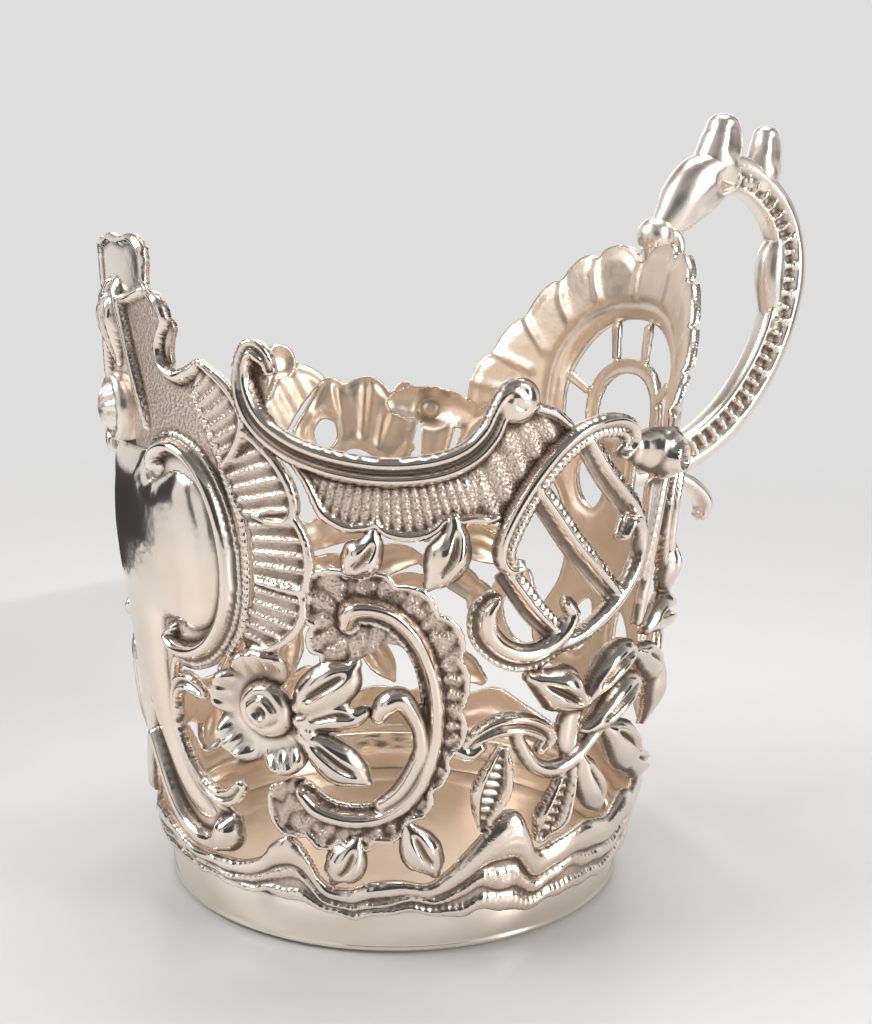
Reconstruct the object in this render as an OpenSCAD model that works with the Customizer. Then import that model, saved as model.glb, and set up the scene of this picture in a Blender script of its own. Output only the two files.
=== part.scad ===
// Tea glass holder of silver: a plain foot, a pierced rocaille wall and a cast handle.
// The cup axis is Z, the handle stands toward +X and the shield toward -X.
// Azimuths are degrees from the handle, counted toward -Y, the near side.

/* [Foot] */
// Outer radius of the plain foot band
foot_r = 33; // [31:0.5:37]
// Height of the foot band
foot_h = 7.6; // [6.5:0.1:9]
// Thickness of the foot band
foot_t = 1.3; // [1:0.1:1.8]
// Thickness of the bottom plate
plate_t = 1.2; // [0.8:0.1:1.8]
// How far the bottom plate stands below the foot band
plate_drop = 0.5; // [0.3:0.1:0.8]
// How far the waves round the foot stand out
wave_lift = 2.1; // [1.5:0.1:2.6]

/* [Wall] */
// Height that every ornament of the wall is drawn to
wall_h = 80; // [72:1:90]
// How far the wall spreads outward over its height
wall_spread = 10.1; // [6:0.1:12]
// How far that spread rounds off toward the top
wall_round = 2.8; // [0:0.1:4]
// Thickness of the pierced sheet
sheet_t = 1; // [0.8:0.1:1.3]

/* [Relief] */
// Breadth of the large C-scrolls
scroll_w = 3; // [2:0.1:3.4]
// Crown of the large C-scrolls above the sheet
scroll_h = 1.7; // [1:0.1:2.4]
// Breadth of the stems and lattice bars
stem_w = 2.1; // [1.4:0.1:2.4]
// Crown of the stems, leaves and lattice bars
stem_h = 1.3; // [0.8:0.1:2]
// Breadth of a leaf at its widest
leaf_w = 4.6; // [3:0.1:5]
// How far the shield swells out of the sheet
shield_swell = 1.6; // [0.8:0.1:2.4]
// Radius of the round boss over the shield
boss_r = 4.6; // [3:0.1:5]
// Radius of the raised heart of each flower
eye_r = 3.7; // [2.6:0.1:4]

/* [Handle] */
// How far the handle reaches from the cup axis
handle_reach = 73; // [68:0.5:80]
// How far the arch of the handle bow rises above the back crest
handle_rise = 14.5; // [12:0.5:20]
// Breadth of the handle bow
bow_w = 5.6; // [4.5:0.1:7]
// Depth of the handle bow
bow_t = 4.8; // [4:0.1:6]
// Radius of the knob that seats the handle on the back crest
knob_r = 2.9; // [2.2:0.1:3.4]

/* [Hidden] */
$fn = 48;
// Film of solder between two pieces that are joined face to face
seat_gap = 0.06;
// How far a cutting shape runs past what it cuts
overrun = 4;
// Wave profiles round the foot
wave_count = 72;
seat_r = foot_r - foot_t;
// The bottom plate is let into a ledge of the foot band, this share of the band's thickness
ledge_share = 0.4;
ledge_r = seat_r + ledge_share * foot_t;
bright = [0.86, 0.84, 0.80];
dull = [0.66, 0.61, 0.56];

// Outer radius of the sheet at height z
function wall_r(z) = foot_r + wall_spread * z / wall_h - wall_round * pow(z / wall_h, 2);
// Heights in the tables are percent of wall_h
function rise(percent) = percent * wall_h / 100;
// A point on the wall at azimuth a and height z, lifted off the sheet
function on_wall(a, z, lift) = [
    (wall_r(z) + lift) * cos(a),
    -(wall_r(z) + lift) * sin(a),
    z
];

// Places its children square on the wall, with the wall's outward direction as their Z
function lean(z) = atan((wall_spread - 2 * wall_round * z / wall_h) / wall_h);
module face_on(azimuth, share) {
    z = rise(share);
    rotate([0, 0, -azimuth])
        translate([wall_r(z), 0, z])
            rotate([0, 90 + lean(z), 0])
                children();
}
// A turned stud: places and heights are shares of its radius
module stud(profile, radius) {
    translate([0, 0, seat_gap])
        rotate_extrude()
            polygon([for (p = profile) [p[0] * radius, p[1] * radius]]);
}

// Smooth rows through the given ones, with n steps from each row to the next
function row_at(rows, i) = rows[max(0, min(len(rows) - 1, i))];
function between(p, q, r, s, u) =
    ((2 * q) + (r - p) * u + (2 * p - 5 * q + 4 * r - s) * u * u
    + (3 * q - p - 3 * r + s) * u * u * u) / 2;
function smooth(rows, n) = [
    for (i = [0:len(rows) - 2])
        for (k = [0:n - 1])
            between(row_at(rows, i - 1), rows[i], rows[i + 1], row_at(rows, i + 2), k / n),
    rows[len(rows) - 1]
];

// Sections of a bar: place across its breadth, and share of its crown
round_shares = [[-0.5, 0], [0.5, 0], [0.5, 0.45], [0.3, 0.85], [0, 1], [-0.3, 0.85], [-0.5, 0.45]];
channel_shares = [[-0.5, 0], [0.5, 0], [0.5, 0.75], [0.34, 1], [0, 0.5], [-0.34, 1], [-0.5, 0.75]];
leaf_shares = [[-0.5, 0], [0.5, 0], [0.5, 0.2], [0.25, 1], [0, 0.6], [-0.25, 1], [-0.5, 0.2]];
petal_shares = [[-0.5, 0], [0.5, 0], [0.5, 0.7], [0.28, 1], [0, 0.9], [-0.28, 1], [-0.5, 0.7]];

// A closed skin over rings of equal count, with each end capped by triangles
module skin(rings) {
    n = len(rings[0]);
    m = len(rings);
    last = (m - 1) * n;
    cap = [[0, 1, 4], [1, 2, 3], [1, 3, 4], [4, 5, 0], [5, 6, 0]];
    polyhedron(
        points = [for (ring = rings) for (p = ring) p],
        faces = concat(
            [for (i = [0:m - 2]) for (j = [0:n - 1]) [i * n + j, i * n + (j + 1) % n, (i + 1) * n + j]],
            [for (i = [0:m - 2]) for (j = [0:n - 1])
                [i * n + (j + 1) % n, (i + 1) * n + (j + 1) % n, (i + 1) * n + j]],
            [for (t = cap) [t[2], t[1], t[0]]],
            [for (t = cap) [last + t[0], last + t[1], last + t[2]]]
        ),
        convexity = 8
    );
}

// The way along the wall at row i, as a unit step of arc and height
function step_at(rows, i) =
    let (
        p = row_at(rows, i - 1),
        q = row_at(rows, i + 1),
        dz = rise(q[1] - p[1]),
        dx = wall_r(rise(rows[i][1])) * (q[0] - p[0]) * PI / 180
    ) [dx, dz] / norm([dx, dz]);

// A bar that lies on the wall along its rows of azimuth, height, breadth share and crown share
module bar(rows, steps, breadth, crown, section, from = seat_gap) {
    way = smooth(rows, steps);
    skin([
        for (i = [0:len(way) - 1])
            let (
                d = step_at(way, i),
                z = rise(way[i][1]),
                b = breadth * way[i][2],
                c = crown * way[i][3]
            ) [
                for (p = section)
                    let (
                        dz = p[0] * b * d[0],
                        da = -p[0] * b * d[1] / wall_r(z) * 180 / PI
                    ) on_wall(way[i][0] + da, z + dz, p[1] == 0 ? from : from + p[1] * (c - from))
            ]
    ]);
}

// Strokes of one casting, merged into a single skin
module casting() {
    resize([0, 0, 0]) children();
}

// The whole wall as a plain sheet, which each pierced panel is cut from
sheet_reach_share = 145;
module blank_sheet(inner = sheet_t, outer = 0) {
    steps = 7;
    z = [for (i = [0:steps]) rise(sheet_reach_share) * i / steps];
    rotate_extrude()
        polygon(concat(
            [for (i = [0:steps]) [wall_r(z[i]) + outer, z[i]]],
            [for (i = [steps:-1:0]) [wall_r(z[i]) - inner, z[i]]]
        ));
}

// An outline of azimuths and heights as seen square on from azimuth facing
function flat_outline(rows, facing) = [
    for (p = rows) [wall_r(rise(p[1])) * sin(facing - p[0]), rise(p[1])]
];
module cutter(rows, facing) {
    rotate([0, 0, -facing])
        rotate([90, 0, 90])
            linear_extrude(height = handle_reach)
                polygon(flat_outline(rows, facing));
}
module panel(rows, facing) {
    intersection() {
        blank_sheet();
        cutter(rows, facing);
    }
}
function mirrored(rows) = concat(rows, [for (i = [len(rows) - 1:-1:0]) [360 - rows[i][0], rows[i][1]]]);

// Foot
module bottom_plate() {
    color(dull)
        cylinder(r = ledge_r - seat_gap, h = plate_t);
}
module foot_band() {
    bead = foot_t / 3;
    color(bright)
        rotate_extrude()
            polygon([
                [ledge_r, plate_drop],
                [foot_r - bead, plate_drop],
                [foot_r, plate_drop + bead],
                [foot_r, foot_h],
                [seat_r, foot_h],
                [seat_r, plate_t + seat_gap],
                [ledge_r, plate_t + seat_gap]
            ]);
}

// Upper and lower edge of the waves around the foot: azimuth, upper height, lower height
wave_shares = [
    [0, 17, 7], [12, 15, 7], [24, 17, 7], [36, 20, 7], [45, 18, 7], [52, 20, 7],
    [58, 18.6, 6.6], [62, 17.6, 6.6], [70, 18.7, 7.1], [78, 17.4, 6.8], [82, 16.4, 6.1], [84.5, 17, 6.1],
    [86.5, 20, 6.2], [88.5, 23.4, 6.5], [91, 24.3, 6.9], [94, 23.4, 7.2], [97, 21, 7.5], [100, 18.4, 7.1],
    [104, 15, 7.2], [108, 13, 7.9], [114, 13.6, 8.2], [120, 13.1, 7.5], [124, 12, 6.9], [128, 12, 7.4],
    [130.5, 13.4, 8.1], [132.5, 16.4, 8.6], [135, 19.2, 9], [138, 19.8, 9], [141, 18.4, 9], [144, 15.6, 9.2],
    [150, 13.6, 8.7], [158, 13, 9], [166, 12.8, 9.3], [174, 14.5, 9.3], [180, 15, 9.4]
];
wave_section_shares = [
    [0, 0], [0.55, 0], [0.95, 0.12], [0.6, 0.3], [0.95, 0.46], [0.6, 0.62], [1, 0.86], [0.7, 1], [0, 0.98]
];
function wave_row(a) =
    let (t = a > 180 ? 360 - a : a)
    [for (c = [1, 2]) lookup(t, [for (w = wave_shares) [w[0], w[c]]])];
module wave_border() {
    count = wave_count;
    n = len(wave_section_shares);
    inner_r = foot_r + seat_gap;
    rings = [
        for (i = [0:count - 1])
            let (
                a = i * 360 / count,
                w = wave_row(a),
                top = rise(w[0]),
                low = rise(w[1])
            ) [
                for (p = wave_section_shares)
                    let (
                        z = low + p[1] * (top - low),
                        r = max(inner_r, wall_r(z) - sheet_t) + p[0] * wave_lift
                    ) [r * cos(a), -r * sin(a), z]
            ]
    ];
    color(bright)
        polyhedron(
            points = [for (ring = rings) for (p = ring) p],
            faces = concat(
                [for (i = [0:count - 1]) for (j = [0:n - 1])
                    [i * n + j, ((i + 1) % count) * n + j, i * n + (j + 1) % n]],
                [for (i = [0:count - 1]) for (j = [0:n - 1])
                    [i * n + (j + 1) % n, ((i + 1) % count) * n + j, ((i + 1) % count) * n + (j + 1) % n]]
            ),
            convexity = 10
        );
}

// Cartouche: the panel under the shield, from the crest at the front down to the two ball ends
cartouche_half_shares = [
    [180, 113.4], [174, 112.6], [168.5, 113], [164.6, 110.8], [164.4, 105.2], [161, 103.8], [158.4, 101.2],
    [157.3, 99], [158.4, 96.8], [158.6, 94.4], [156.6, 92.4], [153.4, 93.4], [151.2, 94.4], [150.4, 92.6],
    [152.2, 88.6], [149.7, 84.4], [147.3, 80], [145.5, 75], [144.1, 70], [143.7, 64.6], [144.1, 59.4],
    [145.6, 54.4], [148.6, 50.2], [152, 47], [157, 45.2], [161.6, 44.8], [165, 45.2], [166.8, 42.6], [167.4, 38.6],
    [166.6, 34], [164.6, 29.8], [161.4, 26.2], [157.4, 23.6], [152.4, 22.4], [149.2, 20.6], [148.8, 17.8],
    [150.6, 15.4], [154.4, 14.2], [160.4, 13.9], [166, 15], [171, 18.6], [175.4, 23.2], [180, 28]
];
module cartouche_panel() {
    color(bright)
        panel(mirrored(cartouche_half_shares), 180);
}

// The plain shield swells gently out of the panel
shield_half_shares = [
    [180, 79.2], [174, 79.4], [169, 79], [168, 75], [164, 75.8], [160, 76.8], [156, 76], [152.6, 73.6],
    [150.2, 69.6], [149, 65], [149, 60.2], [150.4, 56], [153.2, 53.2], [158, 51.6], [163, 52.6],
    [168.4, 52], [169.6, 46], [169.6, 40], [168.8, 34.4], [166.6, 29.6], [163.4, 25.6],
    [159.6, 22.6], [156.8, 20.2], [161, 19], [166, 20.2], [170.6, 23.4], [174.6, 28], [180, 34]
];
// Height of each level of the shield, and share of the swell there
swell_shares = [
    [15, 0.3], [25, 0.55], [35, 0.75], [45, 0.86], [55, 0.96], [65, 1], [75, 0.75], [85, 0.25]
];
module cartouche_shield() {
    color(bright)
        intersection() {
            rotate_extrude()
                polygon(concat(
                    [for (p = swell_shares) let (z = rise(p[0])) [wall_r(z) + seat_gap + shield_swell * p[1], z]],
                    [for (p = backwards(swell_shares)) let (z = rise(p[0])) [wall_r(z) + seat_gap, z]]
                ));
            cutter(mirrored(shield_half_shares), 180);
        }
}

// Ridge under the shield: two legs that part from the centre and end in balls
apron_leg_shares = [
    [180, 29.4, 0.7, 1], [175.6, 24.6, 0.75, 1], [171.4, 20, 0.75, 1], [166.8, 16.8, 0.75, 1],
    [161.4, 15.4, 0.8, 1], [156.6, 15.8, 0.9, 1.1], [153.6, 17.4, 1.3, 1.5], [151.6, 19.4, 1.25, 1.5], [150.4, 21, 0.5, 0.5]
];
module apron_leg() {
    bar(apron_leg_shares, 2, scroll_w, scroll_h, round_shares);
}
module apron_ridge() {
    color(bright)
        casting() {
            apron_leg();
            mirror([0, 1, 0]) apron_leg();
        }
}

cartouche_frame_shares = [
    [164.2, 77.4, 0.4, 0.6], [165.8, 77, 0.6, 0.9], [165.4, 79.2, 0.75, 1], [162.6, 80.9, 0.8, 1],
    [158.4, 81.4, 0.8, 1], [154, 79.8, 0.8, 1], [150.4, 76.2, 0.8, 1], [147.8, 71, 0.8, 1], [146.6, 65, 0.8, 1],
    [146.8, 59.4, 0.8, 1], [148.4, 54.6, 0.8, 1], [151.6, 50.6, 0.85, 1], [155.8, 48.2, 0.9, 1],
    [160.4, 47.4, 0.85, 1], [164.4, 48, 0.75, 1], [166.2, 49.8, 0.6, 0.9], [164.4, 51.2, 0.4, 0.6]
];
module near_cartouche_frame() {
    color(bright)
        bar(cartouche_frame_shares, 2, scroll_w, scroll_h, channel_shares);
}
module far_cartouche_frame() {
    mirror([0, 1, 0]) near_cartouche_frame();
}

// Small scroll between the shield's apron and the flower
side_scroll_shares = [
    [156.4, 41.6, 0.6, 0.8], [159.6, 42.6, 0.8, 1], [163, 42, 0.8, 1], [165.2, 39.6, 0.7, 1],
    [165.6, 36, 0.7, 1], [164.4, 32, 0.7, 1], [161.8, 28.4, 0.7, 1], [158.2, 25.6, 0.75, 1],
    [154, 24.4, 0.8, 1], [150.4, 25, 0.8, 1], [148.2, 26.8, 0.6, 0.8]
];
module near_side_scroll() {
    color(bright)
        bar(side_scroll_shares, 2, scroll_w, scroll_h, channel_shares);
}
module far_side_scroll() {
    mirror([0, 1, 0]) near_side_scroll();
}

// Three fluted lobes and a stippled one beside the shield
cartouche_fan_shares = [
    [148.8, 93.2], [146.4, 91.8], [143.6, 89.6], [142, 87], [141.6, 84.6], [139, 82.8], [136, 80.8],
    [133.6, 77.6], [132.4, 74], [132.7, 71.8], [131.3, 70.2], [130.3, 67.6], [130, 65], [130.3, 62.4],
    [131.6, 60.4], [131.2, 58], [131.9, 56], [133.6, 53.6], [136.3, 51.7], [139.4, 50.4], [142.6, 50.2],
    [145, 51.6], [143.7, 54.8], [142.1, 59.4], [141.7, 64.6], [142.1, 70], [143.5, 75], [145.3, 80.2],
    [147.7, 84.6], [150, 88.6]
];
fan_rib_shares = [
    [[144.4, 81], [139.6, 82.4]], [[142.6, 76.4], [135, 79]], [[141.4, 71.8], [133.4, 73]],
    [[141, 67.4], [131.2, 68.6]], [[141, 63.4], [131, 63.8]], [[141.4, 59.4], [132.4, 59.4]],
    [[142.2, 56.4], [132.8, 56.6]], [[143.4, 53.8], [136, 52.6]], [[148.6, 86.8], [144, 88.6]]
];
fan_angle = 138;
module near_cartouche_fan() {
    color(dull) {
        panel(cartouche_fan_shares, fan_angle);
        for (r = fan_rib_shares)
            bar([concat(r[0], [0.5, 0.7]), concat(r[1], [0.8, 1])], 1, stem_w, stem_h, round_shares, -sheet_t / 2);
    }
}
module far_cartouche_fan() {
    mirror([0, 1, 0]) near_cartouche_fan();
}

// Plume, curls and boss over the shield
crest_curl_shares = [
    [163.6, 104, 0.5, 0.7], [160.4, 102.8, 0.8, 1], [158.8, 100.2, 0.6, 0.9], [160.2, 98, 0.5, 0.9],
    [161.2, 95.6, 0.6, 0.9], [160, 93.2, 0.7, 1], [156.8, 91.8, 0.8, 1], [153.6, 92.4, 0.8, 1], [151.4, 93.8, 0.5, 0.8]
];
crest_stalk_shares = [
    [168.4, 88, 0.7, 0.8], [167.6, 93, 0.6, 1], [168.2, 98, 0.7, 1], [169.6, 103, 0.9, 1], [170, 108, 1, 1], [169, 112, 0.8, 0.8]
];
plume_shares = [[180, 93, 1, 1], [180, 98, 1.3, 1.3], [180, 104, 1.1, 1], [180, 110, 0.9, 1], [180, 112.8, 0.6, 0.6]];
module crest_strokes() {
    bar(crest_curl_shares, 2, stem_w, stem_h, round_shares);
    bar(crest_stalk_shares, 1, stem_w, stem_h, leaf_shares);
}
module front_crest() {
    color(bright)
        casting() {
            crest_strokes();
            mirror([0, 1, 0]) crest_strokes();
            bar(plume_shares, 1, leaf_w, stem_h, leaf_shares);
        }
}
boss_height_share = 85.8;
boss_profile_shares = [[0, 0], [1, 0], [0.98, 0.22], [0.86, 0.46], [0.6, 0.64], [0.3, 0.72], [0, 0.74]];
module crest_boss() {
    color(bright)
        face_on(180, boss_height_share)
            stud(boss_profile_shares, boss_r);
}

// Rim: fluted fan under a large C-scroll that dips between two tips
rim_fan_shares = [
    [140.2, 95], [137.6, 93], [138, 88.4], [133.6, 84.6], [128, 82.4], [121, 81], [113, 80.8], [106, 82], [102, 84.2],
    [100, 87.2], [98, 90.6], [94.6, 92], [91.4, 89.4], [87.6, 88.2], [84, 85.8], [86.8, 83.4], [90.6, 79.8],
    [94, 75.6], [97.2, 71.6], [99, 71.4],
    [101.6, 71.8], [104.6, 71.4], [107, 71.6], [109, 69.8], [111.6, 69], [114.4, 69], [117.2, 69.8],
    [118.6, 71.2], [120.4, 70.3], [123.4, 70.1], [126, 70.9], [128.6, 72.4], [130, 74.8], [131.4, 77.6],
    [133.8, 80.6], [136.6, 82.8], [139.6, 85], [141.2, 88.4], [142, 92]
];
rim_fan_angle = 114;
module near_rim_fan() {
    color(dull)
        panel(rim_fan_shares, rim_fan_angle);
}
module far_rim_fan() {
    mirror([0, 1, 0]) near_rim_fan();
}
rim_scroll_shares = [
    [136.4, 93.4, 0.35, 0.6], [137.6, 95.6, 0.55, 0.9], [139.8, 96.6, 0.6, 1], [141.4, 94.4, 0.65, 1],
    [141.6, 91, 0.75, 1], [140.2, 87.4, 0.85, 1], [137.2, 84.4, 0.9, 1], [132, 81.8, 0.95, 1], [125, 80, 1, 1],
    [117, 79.2, 1, 1], [109, 79.8, 1, 1], [103.4, 81.7, 0.95, 1], [100, 84.6, 0.9, 1],
    [98.4, 87.6, 0.85, 1.1], [96.8, 89.6, 1, 1.4], [94.6, 90, 0.7, 1]
];
module near_rim_scroll() {
    color(bright)
        bar(rim_scroll_shares, 2, scroll_w, scroll_h, channel_shares);
}
module far_rim_scroll() {
    mirror([0, 1, 0]) near_rim_scroll();
}

// Medallion: a stippled C-shaped plate with a scalloped edge, and the scrolls on it
medallion_plate_shares = [
    [129.2, 62.8], [127.4, 63.7], [123.4, 63.9], [121, 63.2], [118.6, 63.9], [116.4, 63.4], [115, 61.8], [112.4, 61.7],
    [109.8, 60.8], [108.2, 59], [107.4, 57.4], [105.2, 56.6], [103.4, 54.8], [102.7, 52.4], [103.2, 50.4], [101.7, 48],
    [101.6, 45], [102.6, 42], [101.6, 39.4], [102.2, 36.8], [104.6, 34.6], [104.5, 32.6], [105.8, 30.4],
    [107.8, 29.2], [107.8, 26.8], [109.4, 25], [112, 24.4], [113.2, 22.2], [115.6, 20.9], [118.6, 20.9], [120, 19.4],
    [123, 19.2], [125.4, 20.4], [127.6, 19], [130.4, 19.2], [132.4, 20.8], [135, 20.4], [138, 21], [140, 23],
    [140.6, 26], [139.4, 28.4], [136.6, 29.8], [133.6, 30.2], [131.4, 28.6], [127, 26.9], [122, 26.3], [117.6, 27.1],
    [113.9, 29.4], [111.1, 33], [109.7, 37.6], [109.3, 42], [110, 46.6], [111.9, 50.6], [114.4, 52.8], [117, 53],
    [119.2, 51.8], [121.6, 50.4], [125, 49.9], [128.4, 50.2], [129.2, 53], [129, 58]
];
medallion_angle = 118;
module near_medallion_plate() {
    color(dull)
        panel(medallion_plate_shares, medallion_angle);
}
module far_medallion_plate() {
    mirror([0, 1, 0]) near_medallion_plate();
}
medallion_scroll_shares = [
    [123.6, 56, 0.7, 1], [122.6, 57.8, 1.05, 1.3], [119.6, 58.2, 0.95, 1.2], [115.8, 57, 0.9, 1], [112.4, 54.2, 0.85, 1],
    [110, 50.4, 0.8, 1], [108.5, 45.8, 0.8, 1], [108, 41, 0.8, 1], [108.5, 36, 0.8, 1], [110.3, 31.4, 0.8, 1],
    [113.2, 27.9, 0.85, 1], [117.4, 25.6, 0.85, 1], [122, 24.8, 0.9, 1], [126.6, 25, 0.9, 1],
    [130.4, 26.2, 0.9, 1.1], [132.8, 28.4, 0.7, 1.1]
];
medallion_curl_shares = [
    [118.2, 41.6, 0.6, 0.8], [116.8, 43.6, 0.9, 1.2], [114.4, 44.4, 0.9, 1.1], [112.4, 42.8, 0.7, 1],
    [110.6, 39.8, 0.6, 1], [110.2, 36.2, 0.6, 1], [111.9, 32.6, 0.6, 1], [114.5, 29.2, 0.6, 1], [117.8, 27, 0.5, 0.8]
];
module near_medallion_scroll() {
    color(bright)
        casting() {
            bar(medallion_scroll_shares, 2, scroll_w, scroll_h, round_shares);
            bar(medallion_curl_shares, 1, scroll_w, scroll_h, round_shares);
        }
}
module far_medallion_scroll() {
    mirror([0, 1, 0]) near_medallion_scroll();
}

// Flower: five petals round a heart, with two buds and a pointed leaf beside it
petal_rows_shares = [
    [[143, 44, 1, 0.8], [142.6, 46.8, 1.7, 1.3], [142.4, 49.2, 1.1, 0.7]],
    [[146, 40.6, 0.8, 0.8], [150.4, 39.8, 1.1, 1.2], [154, 39.4, 0.8, 0.7]],
    [[145, 37.6, 1, 0.8], [149, 34.8, 1.5, 1.3], [152, 32.6, 0.9, 0.7]],
    [[139.6, 36.8, 1, 0.8], [138, 33.8, 1.5, 1.3], [136.8, 31, 0.9, 0.7]],
    [[135.6, 39.6, 0.9, 0.8], [132.6, 38, 1, 1.1], [130.6, 36.4, 0.6, 0.7]]
];
spray_shares = [
    [[133.6, 42.4, 0.4, 0.8], [131.4, 43.6, 0.9, 1.2], [127.8, 45.8, 1.1, 1.4], [124.4, 47.8, 0.9, 1.1], [122.6, 49.6, 0.3, 0.6]],
    [[133.4, 40, 0.4, 0.8], [129.4, 40.6, 0.6, 1], [125.6, 41.6, 0.8, 1.2], [122.8, 41.4, 0.5, 0.9], [120.8, 42.2, 0.3, 0.6]],
    [[133, 38, 0.3, 0.8], [129.6, 36, 0.8, 1.2], [125.6, 33.4, 1, 1.3], [122.4, 31.8, 0.7, 1], [120.2, 30.4, 0.2, 0.5]]
];
flower_disc_shares = [
    [146.4, 40], [145.4, 37], [142.8, 34.8], [139.4, 34.6], [136.2, 36.4], [134.6, 39.4], [134.8, 42.8], [137, 45.6],
    [140.4, 46.8], [144, 46], [146.2, 43.4]
];
flower_angle = 140.4;
flower_height_share = 41.2;
module near_flower() {
    color(bright) {
        panel(flower_disc_shares, flower_angle);
        casting()
            difference() {
                for (rows = petal_rows_shares)
                    bar(rows, 1, leaf_w, stem_h, petal_shares, -sheet_t / 2);
                face_on(flower_angle, flower_height_share)
                    cylinder(r = eye_r + seat_gap, h = overrun);
            }
        casting()
            for (rows = spray_shares)
                bar(rows, 1, leaf_w, stem_h, leaf_shares);
    }
}
module far_flower() {
    mirror([0, 1, 0]) near_flower();
}
eye_profile_shares = [[0, 0], [1, 0], [1, 0.28], [0.8, 0.5], [0.55, 0.42], [0.5, 0.7], [0.28, 0.8], [0, 0.62]];
module flower_eyes() {
    color(bright)
        for (side = [-1, 1])
            face_on(side * flower_angle, flower_height_share)
                stud(eye_profile_shares, eye_r);
}

// Buds that tie the fan to the medallion, and the medallion to the waves
bud_rows_shares = [
    [[121.4, 71.6, 0.4, 0.8], [121.4, 69.4, 1, 1.2], [121.2, 67, 1.1, 1.4], [121, 64.8, 0.7, 1], [121, 62.8, 0.3, 0.6]],
    [[105.8, 72.6, 0.4, 0.8], [106, 70, 1, 1.2], [106.4, 67, 1.2, 1.4], [107, 63.6, 0.8, 1], [107.8, 59.8, 0.3, 0.6]],
    [[122.6, 20.6, 0.3, 0.6], [123.8, 18.4, 0.9, 1.2], [125.2, 16.2, 1, 1.3], [126.8, 14.6, 0.7, 1], [127.6, 13.4, 0.3, 0.6]],
    [[112.6, 23.4, 0.3, 0.6], [111, 21, 0.9, 1.2], [109.4, 18.6, 1, 1.3], [107.6, 16.6, 0.7, 1], [106.6, 15, 0.3, 0.6]]
];
module near_buds() {
    color(bright)
        casting()
            for (rows = bud_rows_shares)
                bar(rows, 1, leaf_w, stem_h, leaf_shares);
}
module far_buds() {
    mirror([0, 1, 0]) near_buds();
}

// Open lattice: a ribbed band and a C-scroll with three diagonal bars between them
lattice_band_shares = [
    [70.6, 80.8, 0.6, 0.8], [69.2, 82.2, 0.8, 1], [70, 84.2, 0.9, 1], [73.6, 85.2, 1, 1], [78, 85, 1, 1],
    [82, 83.8, 1.1, 1], [86, 81.4, 1.1, 1], [89.4, 78.2, 1.1, 1], [92.4, 74.4, 1.1, 1], [94.8, 70.4, 1.1, 1],
    [96, 67, 1, 1], [95, 64.8, 0.8, 1], [93, 64.6, 0.6, 0.8]
];
lattice_scroll_shares = [
    [98, 59.6, 0.8, 1.1], [99.4, 57.6, 1.1, 1.2], [99, 54.4, 1.2, 1.1], [96.4, 51.8, 1.2, 1], [92.6, 50.2, 1.2, 1],
    [88.6, 50, 1.2, 1], [84.8, 51.2, 1.1, 1], [81.8, 53.4, 1, 1], [80.6, 56, 0.8, 1], [81.8, 57.8, 0.6, 0.8]
];
lattice_tail_shares = [
    [84, 50.8, 0.7, 0.8], [79, 51.8, 0.9, 1], [74, 53.4, 1, 1], [69.4, 55.6, 1, 1], [65.4, 58.4, 1, 1], [62.4, 62, 1, 1],
    [61.8, 66, 1, 1], [63.6, 69, 0.9, 1], [66.6, 69.6, 0.8, 1], [68.4, 67.4, 0.6, 0.9]
];
lattice_bar_shares = [
    [[95, 64.2, 0.8, 0.9], [92, 61, 0.9, 1], [88.6, 57.6, 0.9, 1], [84.6, 54.4, 0.8, 0.9]],
    [[91, 77.6, 0.8, 0.9], [86, 72.6, 0.9, 1], [81, 67.6, 0.9, 1], [75.4, 63.2, 0.9, 1], [69, 58.6, 0.8, 0.9]],
    [[79.6, 83.6, 0.8, 0.9], [75, 78.8, 0.9, 1], [70, 75, 0.9, 1], [65, 71.6, 0.9, 1], [60.6, 67.4, 0.8, 0.9]]
];
module near_lattice() {
    color(bright)
        casting() {
            bar(lattice_band_shares, 2, stem_w, scroll_h, channel_shares);
            bar(lattice_scroll_shares, 2, stem_w, scroll_h, channel_shares);
            bar(lattice_tail_shares, 2, stem_w, scroll_h, round_shares);
            for (rows = lattice_bar_shares)
                bar(rows, 1, stem_w, stem_h, round_shares);
        }
}

// The far side has a shell of lobes over an arch in the place of the lattice
shell_panel_shares = [
    [84.4, 85.4], [81.4, 85.8], [78.6, 84.4], [76, 85.6], [72, 86], [69, 84.6], [67, 82.6], [65.4, 84.6], [62.4, 84.8],
    [60.6, 81.6], [60.4, 76], [62, 70], [61, 64], [62.4, 58.4], [66, 55], [71, 52.8], [77, 51], [84, 49.6], [91, 48.8],
    [97, 50.6], [100.4, 54.6], [100.4, 59.4], [98, 61.4], [95.6, 59], [92.6, 56.2], [89, 55.2], [86, 56.6], [85.4, 60],
    [87, 64], [89.6, 67.6], [90.4, 71.4], [92.4, 74], [89.6, 78.2], [87, 81.6]
];
shell_window_shares = [
    [[82, 58.4], [78, 56.2], [73, 57.4], [69.8, 60.8], [69.6, 65.6], [72.6, 69.4], [77.4, 70.6], [81.6, 68], [83, 63.4]],
    [[86.4, 72.2], [84, 70.4], [81, 72.6], [81.4, 76], [84.6, 77], [86.8, 75]]
];
shell_rib_shares = [
    [[79, 73.4], [80.6, 84]], [[74.6, 73.4], [73.6, 84.6]], [[70.4, 71.6], [68.8, 77.8]], [[66.8, 66.4], [62.4, 71]],
    [[67, 60.4], [62.4, 60]]
];
shell_angle = 80;
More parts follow.
